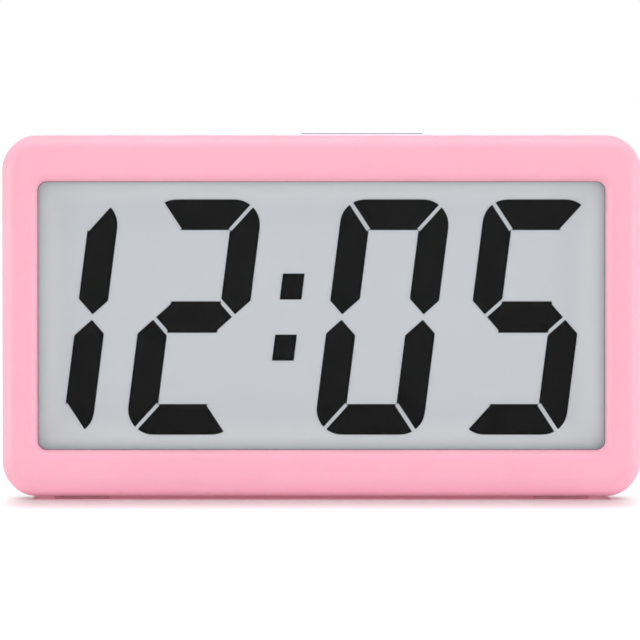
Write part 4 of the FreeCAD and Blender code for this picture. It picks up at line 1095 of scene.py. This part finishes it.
@dataclass
class FrontFrame:
    """Front moulding: a rounded frame round the window, carried round as one closed profile.

    All sizes are in millimetres.
    """

    width: float = 165.0
    height: float = 93.4
    middle: float = 47.5
    corner: float = 9.2
    least_corner: float = 0.4
    depth: float = 12.5
    side_rings: tuple[float, ...] = (-0.6, -4.0)
    rounding: float = 4.8
    flat: float = 0.2
    wall: float = 2.0
    lip_depth: float = 2.1
    front_wall: float = 3.2
    seam: float = 0.12
    window_width: float = 146.5
    window_height: float = 69.3
    window_corner: float = 2.3
    window_rounding: float = 3.0
    steps: int = 12
    sharp: float = 50.0
    inner: InnerRibs = field(default_factory=InnerRibs)

    def outer_ring(self, inset: float, y: float) -> Ring:
        """Return half width, half height, corner and depth of a ring inside the case's outline."""
        corner = max(self.corner - inset, self.least_corner)
        return self.width / 2 - inset, self.height / 2 - inset, corner, y

    def window_ring(self, outset: float, y: float) -> Ring:
        """Return half width, half height, corner and depth of a ring outside the window's edge."""
        half_width, half_height = self.window_width / 2 + outset, self.window_height / 2 + outset
        return half_width, half_height, self.window_corner + outset, y

    def profile(self) -> list[Ring]:
        """Return the rings of the closed profile, from the seam over the front and back inside.

        The outer edge is a quarter circle between side and front, the window's edge another one.

        Returns:
            The rings, in millimetres.
        """
        front, edge = -self.depth, self.window_rounding
        rings = [self.outer_ring(self.seam, 0.0), self.outer_ring(0.0, -self.seam)]
        rings += [self.outer_ring(0.0, y) for y in (*self.side_rings, front + self.rounding + self.flat)]
        outside = arc((0.0, front + self.rounding), self.rounding, 0, -90, self.steps)
        rings += [self.outer_ring(self.rounding - u, v) for u, v in outside]
        rings += [self.outer_ring(self.rounding + self.flat, front)]
        rings += [self.window_ring(edge + self.flat, front)]
        inside = arc((0.0, 0.0), edge, 0, 90, self.steps)
        rings += [self.window_ring(edge - v, front + edge - u) for u, v in inside]
        back = front + self.front_wall
        rings += [self.window_ring(0.0, back), self.outer_ring(self.wall, back)]
        rings += [self.outer_ring(inset, -self.lip_depth) for inset in (self.wall, self.wall / 2)]
        return [*rings, self.outer_ring(self.wall / 2, 0.0)]

    def build(self, finish: Finishes) -> list[Piece]:
        """Build and dress the frame with its rib, clips and bosses.

        Args:
            finish: The finishes.

        Returns:
            The piece.
        """
        made = mesh_object("front_frame", [framed(self.profile(), self.middle), *self.inner.shells()])
        weigh_normals(shade(made, self.sharp))
        place(made, Body.CASE, Slot.PINK, "front_bezel")
        return [dress(made, material_of(finish.case_pink))]


@dataclass
class RearShell:
    """Rear moulding with the battery cover and the kickstand, in millimetres and degrees."""

    case: FrontFrame
    back: float = 12.5
    rounding: float = 3.0
    near: float = 0.03
    turn: float = 25.0
    shell_sharp: float = 40.0
    panel_sharp: float = 30.0
    cover_edge: float = 0.25

    def outer_normals(self, points: np.ndarray) -> tuple[np.ndarray, np.ndarray]:
        """Return the outer surface's normal at each point, and how far the point is from that surface.

        The surface is the case's outline carried backwards, with its back edge rounded. With a the
        distance past the rounding's centre line towards the outline and b the distance past it
        backwards, neither below 0, the normal points along a * outwards + b * backwards, and the
        surface is where hypot(a, b) is the rounding's radius.

        Args:
            points: The (count, 3) points, in millimetres.

        Returns:
            The normals, and the distances from the surface.
        """
        case = self.case
        core = np.array([case.width / 2 - case.corner, case.height / 2 - case.corner])
        flat = points[:, [0, 2]] - (0.0, case.middle)
        past = flat - np.clip(flat, -core, core)
        length = np.linalg.norm(past, axis=1)
        outwards = past / np.maximum(length, TINY)[:, None]
        a = np.maximum(length - case.corner + self.rounding, 0.0)
        b = np.maximum(points[:, 1] - self.back + self.rounding, 0.0)
        reach = np.hypot(a, b)
        normals = np.stack([a * outwards[:, 0], b, a * outwards[:, 1]], axis=-1)
        return normals / np.maximum(reach, TINY)[:, None], np.abs(reach - self.rounding)

    def set_outer_normals(self, made: Piece) -> Piece:
        """Give the faces of the outer surface that surface's own normals, so that they shade evenly.

        Args:
            made: The smoothed shell.

        Returns:
            The same piece.
        """
        mesh = made.data
        normals, off = self.outer_normals(read(mesh.vertices, "co", 3) / MM)
        corners = read(mesh.loops, "vertex_index", kind=int)
        counts = read(mesh.polygons, "loop_total", kind=int)
        around = np.repeat(read(mesh.polygons, "normal", 3), counts, axis=0)
        wanted = normals[corners]
        along = np.sum(around * wanted, axis=1) > math.cos(math.radians(self.turn))
        wanted[~(along & (off[corners] < self.near))] = 0.0
        mesh.normals_split_custom_set(wanted.tolist())
        return made

    def build(self, finish: Finishes) -> list[Piece]:
        """Build and dress the rear shell, the cover and the stand.

        Args:
            finish: The finishes.

        Returns:
            The three pieces.
        """
        shell = smooth_copy("rear_housing", Body.CASE, Slot.PINK, self.shell_sharp)
        cover = smooth_copy("battery_cover", Body.COVER, Slot.PINK, self.panel_sharp)
        stand = smooth_copy("kickstand", Body.STAND, Slot.PINK, self.panel_sharp)
        pieces = [self.set_outer_normals(shell), soften_edges(cover, self.cover_edge), weigh_normals(stand)]
        return [dress(made, material_of(finish.case_pink)) for made in pieces]


# ---------------------------------------------------------------- display


@dataclass
class Display:
    """Window, display cell, segments, reflector, holder and connector, in millimetres and degrees."""

    case: FrontFrame
    # Radius of the dark bead of painted shade round the window.
    painted_shade_bead: float = 0.2
    painted_shade_bead_steps: int = 6
    painted_shade_bead_sharp: float = 50.0
    front: float = -9.3
    overlap: float = 0.02
    glass_front: float = -8.06
    segment_front: float = -6.96

    def painted_shade_bead_shell(self) -> Shell:
        """Return the thin dark bead round the window's edge, painted shade where the frame meets the window.

        Its cross-section is a quarter circle, round the corner between wall and sheet, that bulges
        inwards a little; it is carried once round the window's edge.

        Returns:
            The points in metres and the faces.
        """
        corner = (self.overlap, self.front + self.overlap)
        section = [corner, *arc(corner, self.painted_shade_bead, -90, -180, self.painted_shade_bead_steps)]
        return framed([self.case.window_ring(outset, y) for outset, y in section], self.case.middle)

    def build(self, finish: Finishes) -> list[Piece]:
        """Build the dark bead of painted shade round the window and dress the display.

        Args:
            finish: The finishes.

        Returns:
            The pieces, from the window inwards.
        """
        # Painted shade: this dark bead stands for the shadow line at the window's edge, not a real seal.
        painted_shade_bead = shade(mesh_object("window_painted_shade_bead", [self.painted_shade_bead_shell()]), self.painted_shade_bead_sharp)
        place(painted_shade_bead, Body.CASE, Slot.SEAL)
        glass = trimmed_copy("lcd_front_glass", Slot.GLASS, self.glass_front)
        segments = trimmed_copy("lcd_segments", Slot.BLACK, self.segment_front)
        return [dress(painted_shade_bead, material_of(finish.painted_shade_bead)),
                *dress_nodes(material_of(finish.window), "display_window"),
                dress(glass, material_of(finish.glass)),
                dress(segments, material_of(finish.crystal)),
                *dress_nodes(material_of(finish.film), "lcd_rear_glass", "lcd_reflector"),
                *dress_nodes(material_of(finish.seal), "lcd_seal"),
                *dress_nodes(material_of(finish.holder_white), "lcd_holder"),
                *dress_nodes(material_of(finish.strip), "lcd_connector")]


# ---------------------------------------------------------------- board and controls


@dataclass
class BoardAssembly:
    """Circuit board with its components."""

    switches: tuple[str, ...] = (*(button.value for button in Button), "snooze")

    def build(self, finish: Finishes) -> list[Piece]:
        """Dress the board and what is soldered to it.

        Args:
            finish: The finishes.

        Returns:
            The pieces.
        """
        bodies = [f"switch_{name}" for name in self.switches]
        plungers = [f"plunger_{name}" for name in self.switches]
        black = ("clock_chip", "buzzer", "slide_switch", *bodies)
        return [*dress_nodes(material_of(finish.board), "main_board"),
                *dress_nodes(material_of(finish.part_black), *black),
                *dress_nodes(material_of(finish.plunger_cream), "alarm_lever", *plungers),
                *dress_nodes(material_of(finish.can), "quartz_crystal"),
                *dress_nodes(material_of(finish.capacitor_tan), "capacitor_upper", "capacitor_lower")]


@dataclass
class Controls:
    """Snooze key, back buttons with their marks, and alarm slider, in millimetres and degrees.

    The tips of a triangle lie in three directions at tip_reach times the mark's half size, and
    side_points are the points along each of its sides.
    """

    edge: float = 0.25
    mark: float = 1.15
    disc_corner: float = 0.999
    disc_steps: int = 10
    square_corner: float = 0.2
    square_steps: int = 4
    tips: Triple = (90.0, 210.0, 330.0)
    tip_reach: float = 1.35
    side_points: int = 6
    sink: float = 0.05
    rise: float = 0.14
    draft: float = 0.12
    mark_sharp: float = 40.0

    def triangle(self, turn: float) -> np.ndarray:
        """Return points round an upright triangle, each side running straight from tip to tip.

        Args:
            turn: Turn of the triangle, in degrees.

        Returns:
            An array of (x, z) pairs.
        """
        turns = np.radians(np.array(self.tips) + turn)
        tips = self.mark * self.tip_reach * np.stack([np.cos(turns), np.sin(turns)], axis=-1)
        share = np.linspace(0, 1, self.side_points, endpoint=False)[:, None]
        return np.concatenate([tips[k] * (1 - share) + tips[(k + 1) % 3] * share for k in range(3)])

    def mark_outline(self, button: Button) -> np.ndarray:
        """Return the outline of a button's raised mark round (0, 0).

        A disc stands for the mode and a square for setting, and a triangle points up or down.

        Args:
            button: The button.

        Returns:
            An array of (x, z) pairs.
        """
        if button is Button.MODE:
            return rounded_ring(self.mark, self.mark, self.mark * self.disc_corner, self.disc_steps)
        if button is Button.SET:
            return rounded_ring(self.mark, self.mark, self.square_corner, self.square_steps)
        return self.triangle(180.0 if button is Button.DOWN else 0.0)

    def mark_shell(self, button: Button) -> Shell:
        """Return the raised mark on the middle of a button's face.

        Args:
            button: The button.

        Returns:
            The points in metres and the faces.
        """
        low, high = (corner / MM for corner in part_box(button.node))
        outline = self.mark_outline(button) + ((low.x + high.x) / 2, (low.z + high.z) / 2)
        return raised_shell(outline, high.y - self.sink, high.y + self.rise, self.draft)

    def build(self, finish: Finishes) -> list[Piece]:
        """Build and dress the keys and their marks.

        Args:
            finish: The finishes.

        Returns:
            The keys, then the marks.
        """
        keys = [smooth_copy("snooze_key", Body.SNOOZE, Slot.GREY),
                smooth_copy("alarm_slider", Body.SLIDER, Slot.GREY)]
        keys += [smooth_copy(button.node, button.body, Slot.GREY) for button in Button]
        pieces = [dress(soften_edges(key, self.edge), material_of(finish.key_grey)) for key in keys]
        for button in Button:
            mark = shade(mesh_object(f"mark_{button.value}", [self.mark_shell(button)]), self.mark_sharp)
            place(mark, button.body, Slot.GREY)
            pieces.append(dress(mark, material_of(finish.mark_dark)))
        return pieces


# ---------------------------------------------------------------- power


@dataclass
class Cell:
    """AAA cell lying along X, turned from one profile, in millimetres.

    The rings of its end faces are given by their distance from the jacket's outside, and the
    starts of its bands as shares of its length: the copper one ends at copper, and the bare ends
    are bare_nub and bare_flat long.
    """

    node: str
    tip: float
    way: Side
    height: float
    depth: float = 5.35
    radius: float = 5.25
    body: float = 43.3
    nub_radius: float = 1.9
    nub: float = 1.2
    nub_rounding: float = 0.3
    nub_steps: int = 4
    nub_foot: float = 0.2
    seal: float = 1.5
    seal_rise: float = 0.25
    seal_slope: float = 0.1
    rim: float = 0.9
    lip: float = 0.4
    lip_steps: int = 5
    end_rounding: float = 0.5
    end_ring: float = 1.2
    end_groove: float = 0.1
    steps: int = 64
    sharp: float = 40.0
    copper: float = 0.3
    bare_nub: float = 0.032
    bare_flat: float = 0.025

    def profile(self) -> list[Point]:
        """Return the cell's profile: the nub, the seal, the jacket's lip and the flat end.

        Returns:
            Pairs of (radius, distance from the tip).
        """
        r, end, face = self.radius, self.nub + self.body, self.nub
        nub, lip, last = self.nub_rounding, self.lip, self.end_rounding
        return [(0.0, 0.0), *arc((self.nub_radius - nub, nub), nub, -90, 0, self.nub_steps),
                (self.nub_radius, face - self.nub_foot), (self.nub_radius + self.nub_foot, face),
                (r - self.seal, face), (r - self.seal + self.seal_slope, face + self.seal_rise),
                (r - self.rim, face + self.seal_rise),
                *arc((r - lip, face + lip), lip, -90, 0, self.lip_steps),
                *arc((r - last, end - last), last, 0, 90, self.lip_steps),
                (r - self.end_ring, end - self.end_groove),
                (r - self.end_ring - self.end_groove, end), (0.0, end)]

    def bands(self) -> Bands:
        """Return the jacket's bands along X, with the share of the length at which each starts.

        Returns:
            The bands, from the nub's end or, for a cell that lies leftwards, from the flat end.
        """
        steel, dark, copper = linear(205, 205, 208), linear(52, 56, 64), linear(196, 120, 66)
        if self.way is Side.LEFT:
            return (0.0, steel), (self.bare_flat, dark), (1 - self.copper, copper), (1 - self.bare_nub, steel)
        return (0.0, steel), (self.bare_nub, copper), (self.copper, dark), (1 - self.bare_flat, steel)

    def build(self) -> Piece:
        """Build and dress the cell.

        The profile is turned round X: the distance from the tip gives x, and the turned radius
        gives y and z.

        Returns:
            The piece.
        """
        points, faces = turned(self.profile(), self.steps)
        along = self.tip + self.way.value * points[..., 2]
        placed = np.stack([along, points[..., 0] + self.depth, points[..., 1] + self.height], axis=-1) * MM
        made = shade(mesh_object(f"{self.node}_piece", [(placed, faces)]), self.sharp)
        place(weigh_normals(made), Body.CASE, Slot.JACKET, self.node)
        length = self.nub + self.body
        start = min(self.tip, self.tip + self.way.value * length)
        return dress(made, CellJacket(f"{self.node}_jacket", self.bands(), start, length).material())


@dataclass
class Power:
    """Cells, contacts and springs."""

    cells: tuple[Cell, ...] = field(default_factory=lambda: (
        Cell("cell_upper", -76.1, Side.RIGHT, 30.05), Cell("cell_lower", -25.9, Side.LEFT, 18.95)))
    metal: tuple[str, ...] = ("contact_negative", "contact_positive", "contact_link",
                              "spring_upper", "spring_lower")

    def build(self, finish: Finishes) -> list[Piece]:
        """Build the cells and dress the contacts."""
        return [*(cell.build() for cell in self.cells), *dress_nodes(material_of(finish.nickel), *self.metal)]


# ---------------------------------------------------------------- fasteners and pads


@dataclass
class CaseScrew:
    """Screw that closes the case: a crowned head with a cross recess and a threaded shank.

    Sizes are in millimetres. The edges of the cross are soft over cross_edge and cross_end_edge, and
    under and neck are shares of the head's and the shank's radius at which their surfaces turn in.
    """

    node: str
    x: float
    z: float
    seat: float = 3.0
    radius: float = 1.22
    core: float = 0.92
    length: float = 9.5
    taper: float = 1.0
    pitch: float = 0.9
    neck: float = 0.3
    head_radius: float = 2.3
    head: float = 1.6
    crown: float = 0.5
    under: float = 0.3
    recess: float = 1.0
    cross_half: float = 0.3
    cross_edge: float = 0.03
    cross_reach: float = 1.3
    cross_end_edge: float = 0.04
    sharp: float = 50.0

    def head_shell(self, steps: int = 64, rings: int = 40) -> Shell:
        """Return the head: a crowned top with a cross sunk in it, its rim and the flat underside.

        On the top the height is (head - crown * (r / R)^2), less the depth of the cross, where the
        distance to the nearer arm's middle line is under half the arm's width.

        Args:
            steps: Points round the head.
            rings: Rings on its top.

        Returns:
            The points in millimetres, from the seat upwards along Y, and the faces.
        """
        share = np.concatenate([np.linspace(0, 1, rings), [1.0, self.under]])[:, None]
        a = np.linspace(0, 2 * math.pi, steps, endpoint=False)[None, :]
        u, v = share * self.head_radius * np.cos(a), share * self.head_radius * np.sin(a)
        arm, reach = np.minimum(np.abs(u), np.abs(v)), np.maximum(np.abs(u), np.abs(v))
        inside = 1 / (1 + np.exp((arm - self.cross_half) / self.cross_edge))
        sunk = inside / (1 + np.exp((reach - self.cross_reach) / self.cross_end_edge))
        height = self.head - self.crown * share**2 - self.recess * sunk
        height[-2:] = 0.0
        return np.stack([u, height, v], axis=-1), grid_faces(rings + 2, steps, False, True)

    def shank_shell(self, steps: int = 24, rings: int = 120) -> Shell:
        """Return the shank: its radius follows a triangular thread that climbs once a pitch.

        With t = (depth / pitch - angle / turn) mod 1, the radius is core + (R - core) * |1 - 2 t|,
        and it falls to nothing over the tip's taper, as the square root of the way that is left.

        Args:
            steps: Points round the shank.
            rings: Rings along it.

        Returns:
            The points in millimetres, from the seat downwards along Y, and the faces.
        """
        depth = np.linspace(0.0, self.length, rings)[:, None]
        a = np.linspace(0, 2 * math.pi, steps, endpoint=False)[None, :]
        phase = np.mod(depth / self.pitch - a / (2 * math.pi), 1.0)
        radius = self.core + (self.radius - self.core) * np.abs(1 - 2 * phase)
        radius = radius * np.sqrt(np.clip((self.length - depth) / self.taper, 0.0, 1.0))
        points = np.stack([radius * np.cos(a), -depth + 0 * a, radius * np.sin(a)], axis=-1)
        points[0] *= np.array([self.neck, 1.0, self.neck])
        return points, grid_faces(rings, steps, False, True)

    def build(self, finish: Finishes) -> Piece:
        """Build and dress the screw.

        Args:
            finish: The finishes.

        Returns:
            The piece.
        """
        foot = np.array([self.x, self.seat, self.z])
        shells = [((points + foot) * MM, faces) for points, faces in (self.head_shell(), self.shank_shell())]
        made = shade(mesh_object(f"{self.node}_piece", shells), self.sharp)
        place(made, Body.CASE, Slot.STEEL, self.node)
        return dress(made, material_of(finish.screw))


@dataclass
class Fasteners:
    """The four case screws and the four rubber pads, in millimetres."""

    across: float = 70.0
    heights: tuple[tuple[str, float], ...] = (("low", 5.55), ("high", 89.45))
    rows: tuple[str, ...] = ("front", "back")
    pad_edge: float = 0.2

    def build(self, finish: Finishes) -> list[Piece]:
        """Build the screws and dress the pads.

        Args:
            finish: The finishes.

        Returns:
            The pieces, side by side.
        """
        pieces = []
        for side in Side:
            for level, z in self.heights:
                screw = CaseScrew(f"case_screw_{level}_{side.label}", side.value * self.across, z)
                pieces.append(screw.build(finish))
            for row in self.rows:
                pad = smooth_copy(f"foot_{row}_{side.label}", Body.CASE, Slot.RUBBER)
                pieces.append(dress(soften_edges(pad, self.pad_edge), material_of(finish.rubber)))
        return pieces


# ---------------------------------------------------------------- studio


@dataclass(frozen=True)
class PaleFloor:
    """Pale matt floor: it keeps the clock's shadow nearby and turns plain white further off.

    Sizes are in millimetres. The floor shines with its own white light from the fade's distance
    on, and with a faint pink glow in the narrow gap under the clock, painted light that stands for the case's
    pink bounce.
    """

    name: str = "floor_pale"
    bounce: float = 0.95
    seen: float = 0.8
    specular: float = 0.3
    roughness: float = 0.22
    matt: float = 1.0
    footprint: Point = (82.5, 12.5)
    fade: float = 112.0
    under: Point = (77.0, 13.5)
    under_edge: float = 6.0
    # Painted light: the pink glow under the clock stands for light bounced off the case.
    painted_bounce_tint: Colour = (0.34, 0.1, 0.135)

    def away(self, tree: Tree, fade: float) -> Socket:
        """Return a mask that grows from 0 at the clock's footprint to 1 at the fade's distance from it."""
        reach = [size + fade for size in self.footprint]
        return tree.past_box(Plane.FLAT, (0.0, 0.0), reach, fade)

    def material(self) -> bpy.types.Material:
        """Build the material.

        Returns:
            The material.
        """
        tree = Tree(self.name)
        rays = tree.add("ShaderNodeLightPath")
        tree.colour(rays.outputs["Is Camera Ray"], (self.bounce,) * 3, (self.seen,) * 3)
        far, half_way = self.away(tree, self.fade), self.away(tree, self.fade / 2)
        outside = tree.past_box(Plane.FLAT, (0.0, 0.0), self.under, self.under_edge)
        # Painted light: the floor glows pink under the clock, and plain white far off.
        glow = tree.combine(Operation.MAXIMUM, far, tree.combine(Operation.SUBTRACT, 1.0, outside))
        shown = tree.combine(Operation.MULTIPLY, glow, tree.seen_directly())
        tree.join(shown, tree.shader.inputs["Emission Strength"])
        tree.join(tree.blend(half_way, self.painted_bounce_tint, WHITE), tree.shader.inputs["Emission Color"])
        tree.gloss(outside, self.matt, self.roughness)
        tree.set(Specular_IOR_Level=self.specular)
        return tree.material


@dataclass(frozen=True)
class Lamp:
    """Soft rectangular lamp: where it hangs and its size in metres, and its power in watts."""

    name: str
    position: Triple
    size: Point
    power: float

    def build(self, target: Vector) -> None:
        """Hang the lamp so that it points at a place.

        Args:
            target: The place, in metres.
        """
        light = bpy.data.lights.new(self.name, "AREA")
        light.shape = "RECTANGLE"
        light.size, light.size_y = self.size
        light.energy = self.power
        made = bpy.data.objects.new(self.name, light)
        made.location = self.position
        made.rotation_euler = (target - Vector(self.position)).to_track_quat("-Z", "Y").to_euler()
        made.visible_camera = False
        bpy.context.scene.collection.objects.link(made)


@dataclass
class Studio:
    """Pale floor, soft light and the camera, in metres and degrees; the sensor is in millimetres."""

    target: Triple = (-0.00036, -0.004, 0.0462)
    distance: float = 3.0
    elevation: float = 2.0
    frame_width: float = 0.1655
    sensor: float = 36.0
    farthest: float = 100.0
    floor_half: float = 6.0
    floor_lines: int = 9
    daylight: float = 0.47
    lamps: tuple[Lamp, ...] = (
        Lamp("lamp_above", (0.0, -0.25, 1.9), (2.2, 1.2), 23.0),
        Lamp("lamp_left", (-2.4, -0.7, 0.2), (1.0, 0.3), 16.0),
        Lamp("lamp_right", (2.4, -0.7, 0.2), (1.0, 0.3), 17.0),
        Lamp("lamp_front", (0.2, -2.6, 0.1), (1.6, 0.18), 6.5),
        Lamp("lamp_back", (0.0, 2.4, 0.9), (2.0, 0.8), 14.0),
    )

    def floor(self) -> None:
        """Lay a flat floor, a grid of straight lines across and along."""
        lines = self.floor_lines
        across = np.linspace(-self.floor_half, self.floor_half, lines)
        x, y = np.meshgrid(across, across, indexing="ij")
        faces = grid_faces(lines, lines, False, False)
        made = mesh_object("floor", [(np.stack([x, y, 0 * x], axis=-1), faces)])
        dress(made, PaleFloor().material())

    def world(self) -> None:
        """Light everything evenly, and show white where nothing stands."""
        world = bpy.data.worlds.new("studio")
        bpy.context.scene.world = world
        world.use_nodes = True
        sky = NodeWork(world.node_tree)
        level = sky.add("ShaderNodeMapRange", To_Min=self.daylight, To_Max=1.0)
        sky.join(sky.seen_directly(), level.inputs["Value"])
        back = sky.nodes["Background"]
        sky.join(WHITE, back.inputs["Color"])
        sky.join(level.outputs["Result"], back.inputs["Strength"])

    def camera(self) -> None:
        """Set the camera straight in front and slightly above, with a long lens."""
        data = bpy.data.cameras.new("camera")
        data.sensor_width = self.sensor
        data.lens = self.sensor * self.distance / self.frame_width
        data.clip_end = self.farthest
        made = bpy.data.objects.new("camera", data)
        rise = math.radians(self.elevation)
        back = Vector((0.0, -math.cos(rise), math.sin(rise)))
        made.location = Vector(self.target) + back * self.distance
        made.rotation_euler = (-back).to_track_quat("-Z", "Y").to_euler()
        bpy.context.scene.collection.objects.link(made)
        bpy.context.scene.camera = made

    def build(self) -> None:
        """Set up the whole studio."""
        self.floor()
        self.world()
        for lamp in self.lamps:
            lamp.build(Vector(self.target))
        self.camera()
        bpy.context.scene.view_settings.view_transform = "Standard"


# ---------------------------------------------------------------- clock


def corners(box: tuple[Vector, Vector]) -> list[list[float]]:
    """Return a box's lowest and highest corner as plain lists."""
    return [[float(v) for v in corner] for corner in box]


def main() -> None:
    """Build the clock sub-assembly by sub-assembly, then the studio, and report each piece."""
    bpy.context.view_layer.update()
    finish = Finishes()
    case = FrontFrame()
    parts: list[SubAssembly] = [
        case, RearShell(case), Display(case), BoardAssembly(), Controls(), Power(), Fasteners()]
    for part in parts:
        for piece in part.build(finish):
            log.info("%s: %s", type(part).__name__, piece.name)
    Studio().build()
    log.info("Studio: floor, lamps, world and camera")


if __name__ == "__main__":
    main()
